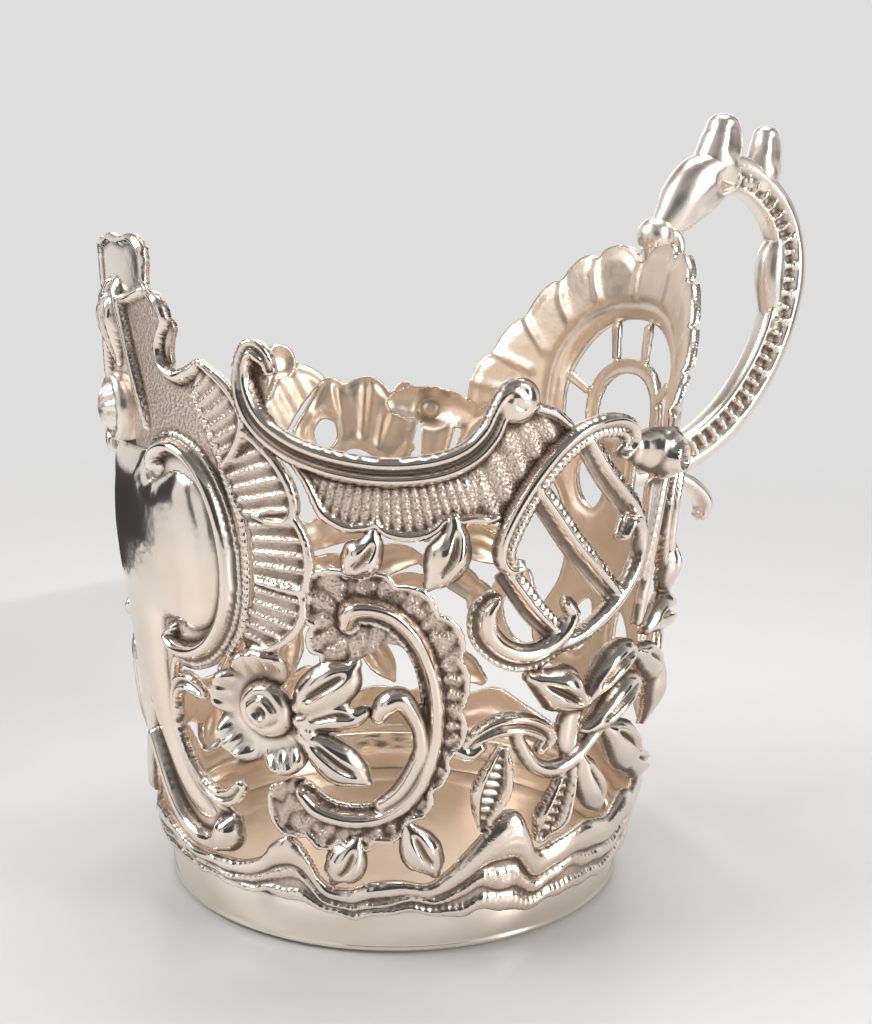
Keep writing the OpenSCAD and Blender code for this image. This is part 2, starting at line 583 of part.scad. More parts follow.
module far_shell() {
    color(dull)
        mirror([0, 1, 0]) {
            difference() {
                panel(shell_panel_shares, shell_angle);
                for (rows = shell_window_shares)
                    cutter(rows, shell_angle);
            }
            for (r = shell_rib_shares)
                bar([concat(r[0], [0.7, 0.7]), concat(r[1], [1.1, 1])], 1, stem_w, stem_h, round_shares, -sheet_t / 2);
        }
}

// Volute: a horn that ends in a boss, with a strap below it and the arch's leg above
volute_horn_shares = [
    [67.4, 80.6, 0.35, 0.7], [64.4, 81.4, 0.65, 1], [60.6, 82, 0.95, 1.4], [56.4, 81.8, 1.15, 1.7],
    [52.8, 80.8, 1.1, 1.6], [49.8, 79.4, 0.7, 1]
];
volute_strap_shares = [
    [55, 80, 0.9, 0.5], [56.4, 75, 0.8, 0.5], [57.2, 70, 0.6, 0.5], [58.2, 64.8, 0.45, 0.5], [59.2, 59.6, 0.4, 0.4]
];
volute_rib_shares = [
    [51, 79, 0.6, 0.9], [53, 73, 0.6, 1], [55, 66, 0.6, 1], [56.8, 58, 0.6, 1], [57.4, 51.4, 0.5, 0.8]
];
volute_scroll_shares = [
    [30, 76, 0.6, 0.8], [35, 78.4, 0.8, 1], [41, 78.6, 0.9, 1], [46, 75.6, 0.9, 1], [48.6, 70, 0.9, 1], [48, 63, 0.9, 1],
    [44.6, 57.4, 0.9, 1], [39, 55, 0.8, 1], [34.4, 57.6, 0.6, 0.9], [34.6, 61.6, 0.4, 0.7]
];
module near_volute() {
    color(bright)
        casting() {
            bar(volute_horn_shares, 2, leaf_w, scroll_h, round_shares);
            bar(volute_strap_shares, 1, leaf_w, stem_h, round_shares);
            bar(volute_rib_shares, 1, scroll_w, stem_h, round_shares);
            bar(volute_scroll_shares, 2, scroll_w, scroll_h, channel_shares);
        }
}
module far_volute() {
    mirror([0, 1, 0]) near_volute();
}

// Vine: a curled leaf, stems, buds and leaves that hang down to the waves
vine_stem_shares = [
    [[91.6, 38, 0.7, 0.9], [89.4, 34.4, 0.8, 1], [86.4, 31.6, 0.9, 1], [82.6, 30.4, 1, 1], [79, 30.6, 1, 1],
        [75.6, 31.8, 1, 1], [72, 34, 0.9, 1], [68, 36.6, 0.9, 1]],
    [[101.2, 36.2, 0.5, 0.7], [99, 38, 0.9, 1], [95, 39.4, 1.2, 1.2], [90.4, 39.2, 1.2, 1.2], [86.4, 37.8, 1, 1.1],
        [84.2, 36, 0.8, 1], [85.4, 34.2, 0.5, 0.7]],
    [[103, 35.6, 0.6, 0.7], [100.6, 34.8, 0.7, 0.9], [98.6, 36, 0.6, 0.9]]
];
vine_leaf_shares = [
    [[94, 35, 0.3, 0.8], [94.8, 32, 0.8, 1.1], [95.8, 28.6, 1.1, 1.2], [96.6, 25.4, 0.8, 1], [97, 22, 0.2, 0.5]],
    [[77.6, 31, 0.3, 0.8], [78.4, 28, 0.7, 1.1], [80, 24.4, 1, 1.3], [81.6, 21.4, 1.1, 1.3], [83, 18.8, 0.4, 0.6]],
    [[75.4, 31.6, 0.3, 0.8], [73.4, 28.8, 0.8, 1.1], [70.6, 25.4, 1, 1.3], [68, 22.6, 0.8, 1], [66, 20.2, 0.2, 0.5]],
    [[75.4, 40.4, 0.3, 0.8], [79, 42.2, 0.9, 1.3], [82.6, 44.2, 1.3, 1.6], [85.8, 45.4, 0.9, 1.2], [89.2, 46.6, 0.3, 0.6]],
    [[75.6, 41, 0.3, 0.8], [72, 44, 0.9, 1.2], [67.6, 46.4, 1.1, 1.3], [62.6, 47, 0.8, 1], [58.4, 46.4, 0.2, 0.5]],
    [[74.4, 36, 0.3, 0.8], [69.6, 37.6, 0.9, 1.2], [64, 40, 1.1, 1.3], [59, 41, 0.8, 1], [55.4, 41, 0.3, 0.5]],
    [[69, 35.4, 0.3, 0.8], [64.6, 33.4, 0.9, 1.2], [60, 30.6, 1.3, 1.5], [56, 27.4, 1, 1.2], [53.4, 24.8, 0.4, 0.6]],
    [[56, 27, 0.4, 0.8], [50.4, 25.4, 0.9, 1.2], [45.4, 23.4, 1, 1.2], [40.6, 21.4, 0.4, 0.6]],
    [[58.4, 46.4, 0.4, 0.8], [52.6, 44.4, 0.9, 1.2], [47, 42, 1, 1.2], [42.4, 38.6, 0.6, 0.8]]
];
vine_lobe_shares = [[75.8, 41.6, 0.5, 0.6], [77.6, 38.6, 0.8, 0.8], [78, 35, 0.8, 0.8], [76.6, 31.4, 0.5, 0.6]];
module near_vine() {
    color(bright)
        casting() {
            for (rows = vine_stem_shares)
                bar(rows, 1, stem_w, scroll_h, round_shares);
            for (rows = vine_leaf_shares)
                bar(rows, 1, leaf_w, stem_h, leaf_shares);
            bar(vine_lobe_shares, 1, leaf_w, stem_h, round_shares);
        }
}
module far_vine() {
    mirror([0, 1, 0]) near_vine();
}

// Back crest: a scalloped arch over an open ring with spokes, behind the handle
arch_outer_shares = [
    [48, 79], [47.4, 84], [46, 88.4], [43.8, 90.8], [42, 91.6], [40.6, 94.2], [38.4, 96.8], [35.6, 98.8],
    [34, 99.2], [32.4, 101.8], [30, 104.6], [27, 106.6], [24.6, 106.9], [22.8, 109.2], [20, 111.2], [17.2, 112],
    [14.6, 111.2], [12.8, 113], [9.6, 113.8], [6, 113.6], [3, 112.4], [0, 110.4]
];
arch_inner_shares = [[21, 77.4], [21, 84], [20, 89], [17, 93.6], [12.6, 97], [7, 99], [0, 99.6]];
function backwards(rows) = [for (i = [len(rows) - 1:-1:0]) rows[i]];
function opposite(rows) = [for (p = rows) concat([-p[0]], [for (i = [1:len(p) - 1]) p[i]])];
function all_but_last(rows) = [for (i = [0:len(rows) - 2]) rows[i]];
function both_ways(rows) = concat(rows, backwards(opposite(all_but_last(rows))));
module back_arch() {
    color(dull)
        panel(concat(both_ways(arch_outer_shares), backwards(both_ways(arch_inner_shares))), 0);
}
arch_ring_shares = [[12.4, 77.6, 1, 1], [12.6, 82.4, 1, 1], [10.4, 87, 1, 1], [5.8, 89.8, 1, 1], [0, 90.6, 1, 1]];
module arch_ring() {
    color(dull)
        bar(both_ways(arch_ring_shares), 2, stem_w, stem_h, round_shares, -sheet_t);
}
spoke_shares = [[[5.6, 92.1, 0.6, 0.6], [6.2, 98, 0.8, 0.6]], [[14.2, 85.2, 0.7, 0.6], [19.4, 87.6, 0.8, 0.6]]];
module arch_spokes() {
    color(dull)
        for (rows = spoke_shares) {
            bar(rows, 2, stem_w, stem_h, round_shares, -sheet_t);
            mirror([0, 1, 0]) bar(rows, 2, stem_w, stem_h, round_shares, -sheet_t);
        }
}

// Pierced plate under the back crest, which the foot of the handle is soldered to
handle_plate_shares = [
    [29.4, 76.6], [26, 77.2], [21, 77], [12.4, 77.2], [0, 78.4]
];
handle_plate_lower_shares = [
    [31, 74], [27.4, 69.4], [22.4, 65.6], [18.6, 60], [17, 53], [18, 46.4], [22, 41], [25.4, 36], [24.4, 31.4], [19.6, 28.4],
    [12, 26.6], [6.6, 22.4], [0, 18]
];
plate_window_shares = [
    [[6, 73.6], [12, 73], [15.4, 69.4], [13.6, 63.6], [8.4, 62], [5.4, 66]],
    [[5.4, 43], [9.6, 42.6], [14, 38.6], [14.6, 34], [9.4, 32.4], [5, 36]]
];
plate_scroll_shares = [
    [20.6, 31.6, 0.6, 0.8], [24.2, 29.8, 0.8, 0.9], [28.8, 29, 0.9, 1], [33.6, 30.4, 0.9, 1], [37, 34.4, 0.9, 1], [37.6, 39.4, 0.9, 1],
    [35, 43.8, 0.9, 1], [30.6, 45.2, 0.8, 1], [28, 42.4, 0.5, 0.8]
];
module plate_scroll() {
    bar(plate_scroll_shares, 2, scroll_w, scroll_h, channel_shares, -sheet_t / 2);
}
module handle_plate() {
    color(dull) {
        difference() {
            panel(concat(both_ways(handle_plate_shares), backwards(both_ways(handle_plate_lower_shares))), 0);
            for (rows = plate_window_shares) {
                cutter(rows, 0);
                cutter(opposite(rows), 0);
            }
        }
        plate_scroll();
        mirror([0, 1, 0]) plate_scroll();
    }
}

// Handle. Reaches are percent of the way from the back crest's outer face to handle_reach.
// Heights up to 100 are percent of the crest's height, and what is over 100 is percent of handle_rise.
crest_share = 110.4;
crest_z = rise(crest_share);
crest_r = wall_r(crest_z);
function reach(percent) = crest_r + percent * (handle_reach - crest_r) / 100;
function height(percent) = (min(percent, 100) * crest_z + max(percent - 100, 0) * handle_rise) / 100;
function in_plane(rows) = [for (p = rows) [reach(p[0]), height(p[1]), p[2], p[3]]];
bow_section_shares = [
    [-0.5, -0.3], [-0.32, 0], [-0.5, 0.3], [0, 0.5], [0.42, 0.34], [0.5, 0], [0.42, -0.34], [0, -0.5]
];
module stroke(rows, steps, breadth, depth) {
    way = smooth(rows, steps);
    last = len(way) - 1;
    n = len(bow_section_shares);
    rings = [
        for (i = [0:last])
            let (
                d = row_at(way, i + 1) - row_at(way, i - 1),
                t = [d[0], d[1]] / norm([d[0], d[1]])
            ) [
                for (p = bow_section_shares)
                    let (u = p[0] * depth * way[i][3])
                    [way[i][0] - u * t[1], p[1] * breadth * way[i][2], way[i][1] + u * t[0]]
            ]
    ];
    polyhedron(
        points = [for (ring = rings) for (p = ring) p],
        faces = concat(
            [for (i = [0:last - 1]) for (j = [0:n - 1]) [i * n + j, (i + 1) * n + j, i * n + (j + 1) % n]],
            [for (i = [0:last - 1]) for (j = [0:n - 1])
                [i * n + (j + 1) % n, (i + 1) * n + j, (i + 1) * n + (j + 1) % n]],
            [for (j = [2:n - 1]) [1, j, (j + 1) % n]],
            [for (j = [2:n - 1]) [last * n + 1, last * n + (j + 1) % n, last * n + j]]
        ),
        convexity = 8
    );
}
// The knob stands over the notch of the crest, and the bow grows out of it
knob_seat_shares = [0.9, 1.45];
knob_at = [crest_r + knob_seat_shares[0] * knob_r, crest_z + knob_seat_shares[1] * knob_r];
neck_shares = [0.73, 0.9];
bow_shares = [
    [23, 171.9, 1.2, 1.4], [32, 190.7, 1.25, 1.5], [43.4, 200, 1.15, 1.2], [56, 200, 1, 1],
    [69.2, 186.1, 0.95, 0.95], [81, 161.3, 0.95, 0.95], [88.2, 127.8, 0.95, 1], [89.6, 98.4, 1, 1.15],
    [87.3, 92.1, 1, 1.05], [81.9, 86, 1, 1], [73.3, 79.9, 1, 1], [62, 74.3, 1, 1], [49, 69.8, 1, 1],
    [34.4, 66.4, 1, 1], [19.4, 64.4, 1.05, 1], [6, 63.7, 1.15, 1.1]
];
bow_foot_share = 63.4;
foot_swell_share = 1.3;
module handle_bow() {
    z = height(bow_foot_share);
    neck = [knob_at[0] + neck_shares[0] * knob_r, knob_at[1] + neck_shares[1] * knob_r, 0.8, 0.9];
    foot = [wall_r(z + bow_t * foot_swell_share / 2) + seat_gap, z, foot_swell_share, foot_swell_share];
    color(bright)
        stroke(backwards(concat([neck], in_plane(bow_shares), [foot])), 2, bow_w, bow_t);
}
// The stem lies on the crest: height share of the wall, lift as a share of knob_r, breadth, depth
stem_on_crest_shares = [[114, 0.66, 0.8, 0.6], [111, 0.62, 0.8, 0.5], [107.6, 0.64, 0.9, 0.5], [104.4, 0.56, 0.8, 0.4]];
module handle_knob() {
    rows = [
        for (p = stem_on_crest_shares)
            let (z = rise(p[0])) [wall_r(z) + p[1] * knob_r, z, p[2], p[3]]
    ];
    color(bright) {
        translate([knob_at[0], 0, knob_at[1]])
            sphere(r = knob_r);
        stroke(backwards(rows), 1, bow_w, bow_t);
    }
}
// Two lobes on the bow: reach, height over the middle of the bow as a share of bow_t, breadth, depth
thumb_lobe_shares = [
    [[44.3, 0.705, 0.9, 1.4], [43.9, 1.125, 1, 1.3], [43.9, 1.588, 0.85, 0.9], [44.3, 1.865, 0.4, 0.4]],
    [[73.7, 0.52, 0.7, 1.1], [74.9, 0.98, 0.75, 1.05], [73.7, 1.54, 0.65, 0.8], [71.5, 1.98, 0.3, 0.35]]
];
lobe_seat_shares = [200, 186.1];
module thumb_rest() {
    color(bright)
        for (i = [0:len(thumb_lobe_shares) - 1])
            let (z = height(lobe_seat_shares[i]))
                stroke(
                    backwards([for (p = thumb_lobe_shares[i]) [reach(p[0]), z + p[1] * bow_t, p[2], p[3]]]),
                    2, bow_w, bow_t
                );
}
curl_shares = [[20.8, 59.9, 0.6, 0.5], [30, 60.1, 0.8, 0.5], [38.3, 59.1, 0.8, 0.5], [43.4, 56.8, 0.8, 0.5], [42, 54.5, 0.6, 0.3]];
module handle_curl() {
    color(bright)
        stroke(backwards(in_plane(curl_shares)), 2, bow_w, bow_t);
}

bottom_plate();
foot_band();
wave_border();
cartouche_panel();
cartouche_shield();
apron_ridge();
near_cartouche_frame();
far_cartouche_frame();
near_side_scroll();
far_side_scroll();
near_cartouche_fan();
far_cartouche_fan();
front_crest();
crest_boss();
near_rim_fan();
far_rim_fan();
near_rim_scroll();
far_rim_scroll();
near_medallion_plate();
far_medallion_plate();
near_medallion_scroll();
far_medallion_scroll();
near_flower();
far_flower();
flower_eyes();
near_buds();
far_buds();
near_lattice();
far_shell();
near_volute();
far_volute();
near_vine();
far_vine();
back_arch();
arch_ring();
arch_spokes();
handle_plate();
handle_bow();
handle_knob();
thumb_rest();
handle_curl();
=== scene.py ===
import math
import bpy
import numpy as np
from mathutils import Matrix, Vector


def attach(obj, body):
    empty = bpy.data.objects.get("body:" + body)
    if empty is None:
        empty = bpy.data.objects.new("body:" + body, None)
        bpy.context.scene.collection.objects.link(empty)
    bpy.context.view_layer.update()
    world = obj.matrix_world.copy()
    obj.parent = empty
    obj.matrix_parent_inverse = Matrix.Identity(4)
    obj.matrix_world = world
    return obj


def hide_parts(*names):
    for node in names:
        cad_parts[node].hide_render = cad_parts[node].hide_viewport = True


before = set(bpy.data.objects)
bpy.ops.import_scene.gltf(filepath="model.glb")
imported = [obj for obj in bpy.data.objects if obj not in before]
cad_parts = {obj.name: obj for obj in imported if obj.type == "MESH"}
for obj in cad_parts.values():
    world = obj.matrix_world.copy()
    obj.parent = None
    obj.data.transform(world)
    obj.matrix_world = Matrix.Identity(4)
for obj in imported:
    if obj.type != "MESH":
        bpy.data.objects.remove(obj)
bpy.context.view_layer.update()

MM = 0.001
DEGREE = math.pi / 180
FULL_TURN = 2 * math.pi

# The wall of the cup: radius of the sheet's outer face over its height, in millimetres
FOOT_RADIUS = 33.0
WALL_SPREAD = 10.1
WALL_ROUND = 2.8
WALL_HEIGHT = 80.0

# The sheet: its thickness, the least it keeps under the relief and beside the foot band, the share of the
# relief that the inner face follows, and the clearance from the band up to a height just over it
SHEET = 0.9
LEAST_UNDER_RELIEF = 0.45
LEAST_BY_BAND = 0.12
INNER_SHARE = 0.75
BAND_CLEARANCE = 0.07
BAND_TOP = 8.2


def wall_radius(z):
    return FOOT_RADIUS + WALL_SPREAD * z / WALL_HEIGHT - WALL_ROUND * (z / WALL_HEIGHT) ** 2


def rise_of(percent):
    return percent * WALL_HEIGHT / 100


# The chased wall is a grid of azimuths and heights, one layer for each of these
LAYERS = ("high", "edge", "owner", "stipple")
PITCH = 0.25
MEAN_RADIUS = 37.5
COLUMNS = 2 * int(math.pi * MEAN_RADIUS / PITCH)
LOW_Z, HIGH_Z = 4.4, 91.4
BARE, OUTSIDE = -5.0, 9.0

NAMES = [
    "wave_border", "cartouche_panel", "cartouche_shield", "apron_ridge", "cartouche_frame", "side_scroll",
    "cartouche_fan", "front_crest", "rim_fan", "rim_scroll", "medallion_plate", "medallion_scroll", "flower",
    "flower_eyes", "buds", "lattice", "shell", "volute", "vine", "back_arch", "arch_ring", "arch_spokes",
    "handle_plate",
]
OWN = {name: i + 1 for i, name in enumerate(NAMES)}
FAR_SIDE = 100
WHOLE = {
    "wave_border", "cartouche_panel", "cartouche_shield", "apron_ridge", "front_crest", "flower_eyes",
    "back_arch", "arch_ring", "arch_spokes", "handle_plate",
}


def smooth(rows, n, closed=False):
    """Rows of a table joined by a smooth line, with n steps from each row to the next."""
    rows = np.array(rows, float)
    count = len(rows)
    out = []
    for i in range(count if closed else count - 1):
        near = [(i + k) % count if closed else min(max(i + k, 0), count - 1) for k in (-1, 0, 1, 2)]
        p, q, r, s = rows[near]
        for u in np.arange(n) / n:
            out.append((2 * q + (r - p) * u + (2 * p - 5 * q + 4 * r - s) * u ** 2
                        + (3 * q - p - 3 * r + s) * u ** 3) / 2)
    if not closed:
        out.append(rows[-1])
    return np.array(out)


def bump(x):
    return np.sqrt(np.clip(1 - x * x, 0, 1))


def step(x, low, high):
    t = np.clip((x - low) / (high - low), 0, 1)
    return t * t * (3 - 2 * t)


def bell(x, middle, breadth):
    return np.exp(-((x - middle) / breadth) ** 2)


def to_segment(s, v, start, along, square):
    """Share along a straight piece, and offsets from it, of each point."""
    t = np.clip(((s - start[0]) * along[0] + (v - start[1]) * along[1]) / square, 0, 1)
    return t, s - start[0] - t * along[0], v - start[1] - t * along[1]


class Wall:
    """Half of the wall laid out flat: azimuths 0 to 180, and heights, with the relief on it."""

    def __init__(self):
        self.a = np.arange(COLUMNS // 2 + 1) * 360.0 / COLUMNS
        self.z = np.arange(LOW_Z, HIGH_Z, PITCH)
        self.A, self.Z = np.meshgrid(self.a, self.z)
        self.R = wall_radius(self.Z)
        self.high = np.full(self.A.shape, BARE)
        self.edge = np.full(self.A.shape, OUTSIDE)
        self.owner = np.zeros(self.A.shape, int)
        self.stipple = np.zeros(self.A.shape)

    def copy(self):
        other = Wall()
        for key in LAYERS:
            setattr(other, key, getattr(self, key).copy())
        return other

    def window(self, rows, reach):
        """The part of the grid within reach of the rows, in millimetres."""
        rows = np.array(rows, float)
        a, z = rows[:, 0], rise_of(rows[:, 1])
        wide = reach / FOOT_RADIUS / DEGREE
        ja = np.searchsorted(self.a, [a.min() - wide, a.max() + wide])
        iz = np.searchsorted(self.z, [z.min() - reach, z.max() + reach])
        return slice(*iz), slice(*ja)

    def flat(self, w, rows):
        """Arc lengths and heights in a window, and the rows' own, in millimetres."""
        centre = (rows[:, 0].min() + rows[:, 0].max()) / 2
        z = rise_of(rows[:, 1])
        x = -(rows[:, 0] - centre) * DEGREE * wall_radius(z)
        return -(self.A[w] - centre) * DEGREE * self.R[w], self.Z[w], x, z

    def follow(self, rows, reach):
        """Distance, side, way along and place in the rows of each point near a smooth line."""
        w = self.window(rows, reach)
        s, v, x, z = self.flat(w, rows)
        best = np.full(s.shape, 1e9)
        side, way, place = np.zeros(s.shape), np.zeros(s.shape), np.zeros(s.shape)
        run = 0.0
        for k in range(len(x) - 1):
            dx, dz = x[k + 1] - x[k], z[k + 1] - z[k]
            long = math.hypot(dx, dz)
            if long < 1e-6:
                continue
            t, ex, ez = to_segment(s, v, (x[k], z[k]), (dx, dz), long ** 2)
            d = ex * ex + ez * ez
            near = d < best
            best = np.where(near, d, best)
            side = np.where(near, np.sign(dx * ez - dz * ex), side)
            way = np.where(near, run + t * long, way)
            place = np.where(near, k + t, place)
            run += long
        return w, np.sqrt(best), side, way, place, run

    def outline(self, w, line):
        """Distance of each point in a window from a closed line, less than nought inside it."""
        s, v, x, z = self.flat(w, line)
        best = np.full(s.shape, 1e9)
        within = np.zeros(s.shape, bool)
        for k in range(len(x)):
            m = (k + 1) % len(x)
            dx, dz = x[m] - x[k], z[m] - z[k]
            t, ex, ez = to_segment(s, v, (x[k], z[k]), (dx, dz), max(dx * dx + dz * dz, 1e-9))
            best = np.minimum(best, ex ** 2 + ez ** 2)
            if abs(dz) > 1e-9:
                within ^= ((z[k] > v) != (z[m] > v)) & (s < x[k] + (v - z[k]) * dx / dz)
        return np.where(within, -1, 1) * np.sqrt(best)

    def lay(self, w, name, inside, height, stipple=0.0, over=False):
        """Puts a feature on the wall where it stands higher than what is there."""
        self.edge[w] = np.minimum(self.edge[w], inside)
        up = (inside < 0) & (over | (height > self.high[w]))
        self.high[w] = np.where(up, height, self.high[w])
        self.owner[w] = np.where(up, OWN[name], self.owner[w])
        self.stipple[w] = np.where(up, stipple, self.stipple[w])

    def bar(self, name, rows, breadth, crown, shape):
        """A scroll, stem or leaf: rows of azimuth, height, breadth share and crown share."""
        line = smooth(rows, 6)
        w, d, side, way, place, run = self.follow(line, breadth * line[:, 2].max())
        index = np.arange(len(line))
        half = breadth * np.interp(place, index, line[:, 2]) / 2
        tall = crown * np.interp(place, index, line[:, 3])
        q = np.clip(side * d / half, -1, 1)
        self.lay(w, name, d - half, shape(q, way, run, tall, half))

    def plate(self, name, rows, height, steps=4, stipple=0.0, holes=()):
        """A piece of the sheet inside an outline, with openings sawn out of it."""
        line = smooth(rows, steps, closed=True)
        w = self.window(line, 2.0)
        inside = self.outline(w, line)
        for hole in holes:
            inside = np.maximum(inside, -self.outline(w, smooth(hole, 4, closed=True)))
        self.lay(w, name, inside, height(w, inside), stipple)
        return w, inside

    def groove(self, name, rows, breadth, depth):
        """Sinks what one piece has along a smooth line."""
        w, d = self.follow(smooth(rows, 5), breadth)[:2]
        sunk = self.high[w] - depth * np.exp(-(d / (breadth / 2)) ** 2)
        self.high[w] = np.where(self.owner[w] == OWN[name], sunk, self.high[w])

    def polar(self, w, azimuth, percent):
        """Distance and direction from a place on the wall, and the offsets round and up from it."""
        x = -(self.A[w] - azimuth) * DEGREE * self.R[w]
        y = self.Z[w] - rise_of(percent)
        return np.hypot(x, y), np.arctan2(y, x), x, y


def coarse(shape, seed):
    """Smooth seeded unevenness over an array, about -1 to 1."""
    rng = np.random.default_rng(seed)
    grid = rng.uniform(-1, 1, (shape[0] // 5 + 4, shape[1] // 5 + 4))
    y = np.linspace(0, grid.shape[0] - 2, shape[0])
    x = np.linspace(0, grid.shape[1] - 2, shape[1])
    i, j = y.astype(int), x.astype(int)
    u, t = (y - i)[:, None], (x - j)[None, :]
    u, t = u * u * (3 - 2 * u), t * t * (3 - 2 * t)

    def at(di, dj):
        return grid[np.ix_(i + di, j + dj)]

    return at(0, 0) * (1 - u) * (1 - t) + at(1, 0) * u * (1 - t) + at(0, 1) * (1 - u) * t + at(1, 1) * u * t


# Sections across a bar: q runs from -1 to 1 across it, way is the distance along it and run its length
def raised(tall, profile, base=0.1):
    """A thin base, and above it a profile's share of the crown."""
    return base + (tall - base) * profile


def rounded(q, way, run, tall, half):
    return raised(tall, bump(q) ** 1.1, 0.12)


def c_ridge(q, way, run, tall, half):
    """A thick ridge with a plain channel and a thin beaded lip beside it."""
    main = bump((q + 0.26) / 0.72)
    beads = 0.34 + 0.1 * np.cos(way * FULL_TURN / 0.75)
    lip = beads * bump((q - 0.86) / 0.15)
    return raised(tall, np.maximum(np.maximum(main, lip), 0.16), 0.08)


def c_ridge_back(q, way, run, tall, half):
    return c_ridge(-q, way, run, tall, half)


def twin(q, way, run, tall, half):
    """Two ridges with a channel between them."""
    high, low = bump((q - 0.5) / 0.5), bump((q + 0.55) / 0.45)
    return raised(tall, np.maximum(np.maximum(high, 0.78 * low), 0.35 * bump(q)))


def roped(q, way, run, tall, half):
    """A smooth ridge with a row of cross flutes beside it."""
    ridge = bump((q + 0.42) / 0.56)
    flutes = (0.42 + 0.34 * np.abs(np.sin(way * math.pi / 0.85))) * bump((q - 0.5) / 0.46)
    return raised(tall, np.maximum(np.maximum(ridge, flutes), 0.2))


def hatched(q, way, run, tall, half):
    """A smooth ridge with a row of slanting cuts down one flank."""
    ridge = bump((q + 0.34) / 0.6)
    cuts = 0.58 + 0.26 * np.cos((way + 0.9 * q * half) * FULL_TURN / 0.95)
    return raised(tall, np.maximum(ridge, cuts * bump((q - 0.46) / 0.5)))


def leaf(q, way, run, tall, half):
    """A swelling leaf with a slit down its middle."""
    t = way / max(run, 1e-6)
    slit = bell(q, 0.12, 0.15) * step(t, 0.12, 0.3) * (1 - step(t, 0.72, 0.92))
    return raised(tall, bump(q) ** 1.15 * (1 - 0.5 * slit))


def serrated(q, way, run, tall, half):
    """A leaf with a raised rolled edge and cross folds in its hollow."""
    edge = bump((np.abs(q) - 0.74) / 0.26)
    folds = 0.24 + 0.13 * np.cos(way * FULL_TURN / 1.15)
    return raised(tall, np.maximum(edge, folds * bump(q)))


def strap(q, way, run, tall, half):
    return raised(tall, np.maximum(bump((np.abs(q) - 0.75) / 0.25), 0.55 * (1 - q ** 6)), 0.15)


def beaded(q, way, run, tall, half):
    return raised(tall, bump(q) * (0.62 + 0.38 * np.cos(way * 7.4)))


def wire(q, way, run, tall, half):
    return tall * (0.35 + 0.65 * bump(q))


# Shapes on the wall. A row of an outline is azimuth from the handle in degrees and height in percent of the
# wall, and a row of a bar has breadth and crown shares as well. A row of WAVE is azimuth, upper and lower
# edge, and a row of SWELL is height and the shield's share of its full swell.
WAVE = [
    [0, 17, 7], [12, 15, 7], [24, 17, 7], [36, 20, 7], [45, 18, 7], [52, 20, 7], [58, 18.6, 6.6],
    [62, 17.6, 6.6], [70, 18.7, 7.1], [78, 17.4, 6.8], [82, 16.4, 6.1], [84.5, 17, 6.1], [86.5, 20, 6.2],
    [88.5, 23.4, 6.5], [91, 24.3, 6.9], [94, 23.4, 7.2], [97, 21, 7.5], [100, 18.4, 7.1], [104, 15, 7.2],
    [108, 13, 7.9], [114, 13.6, 8.2], [120, 13.1, 7.5], [124, 12, 6.9], [128, 12, 7.4], [130.5, 13.4, 8.1],
    [132.5, 16.4, 8.6], [135, 19.2, 9], [138, 19.8, 9], [141, 18.4, 9], [144, 15.6, 9.2], [150, 13.6, 8.7],
    [158, 13, 9], [166, 12.8, 9.3], [174, 14.5, 9.3], [180, 15, 9.4]
]
CARTOUCHE_HALF = [
    [180, 113.4], [174, 112.6], [168.5, 113], [164.6, 110.8], [164.4, 105.2], [161, 103.8], [158.4, 101.2],
    [157.3, 99], [158.4, 96.8], [158.6, 94.4], [156.6, 92.4], [153.4, 93.4], [151.2, 94.4], [150.4, 92.6],
    [152.2, 88.6], [149.7, 84.4], [147.3, 80], [145.5, 75], [144.1, 70], [143.7, 64.6], [144.1, 59.4],
    [145.6, 54.4], [148.6, 50.2], [152, 47], [157, 45.2], [161.6, 44.8], [165, 45.2], [166.8, 42.6],
    [167.4, 38.6], [166.6, 34], [164.6, 29.8], [161.4, 26.2], [157.4, 23.6], [152.4, 22.4], [149.2, 20.6],
    [148.8, 17.8], [150.6, 15.4], [154.4, 14.2], [160.4, 13.9], [166, 15], [171, 18.6], [175.4, 23.2],
    [180, 28]
]
PANEL_BEADS = [
    [147.6, 78.4, 0.8, 1], [145.8, 74.8, 1, 1], [143.9, 70.4, 1, 1], [143.4, 64.6, 1, 1],
    [143.8, 58.8, 1, 1], [145.3, 53.6, 1, 1], [148.4, 49.2, 0.8, 1]
]
SHIELD_HALF = [
    [180, 79.2], [174, 79.4], [169, 79], [168, 75], [164, 75.8], [160, 76.8], [156, 76], [152.6, 73.6],
    [150.2, 69.6], [149, 65], [149, 60.2], [150.4, 56], [153.2, 53.2], [158, 51.6], [163, 52.6],
    [168.4, 52], [169.6, 46], [169.6, 40], [168.8, 34.4], [166.6, 29.6], [163.4, 25.6], [159.6, 22.6],
    [156.8, 20.2], [161, 19], [166, 20.2], [170.6, 23.4], [174.6, 28], [180, 34]
]
SWELL = [[15, 0.3], [25, 0.55], [35, 0.75], [45, 0.86], [55, 0.96], [65, 1], [75, 0.75], [85, 0.25]]
APRON_LEG = [
    [180, 29.4, 0.7, 1], [175.6, 24.6, 0.75, 1], [171.4, 20, 0.75, 1], [166.8, 16.8, 0.75, 1],
    [161.4, 15.4, 0.8, 1], [156.6, 15.8, 0.9, 1.1], [153.6, 17.4, 1.3, 1.5], [151.6, 19.4, 1.25, 1.5],
    [150.4, 21, 0.5, 0.5]
]
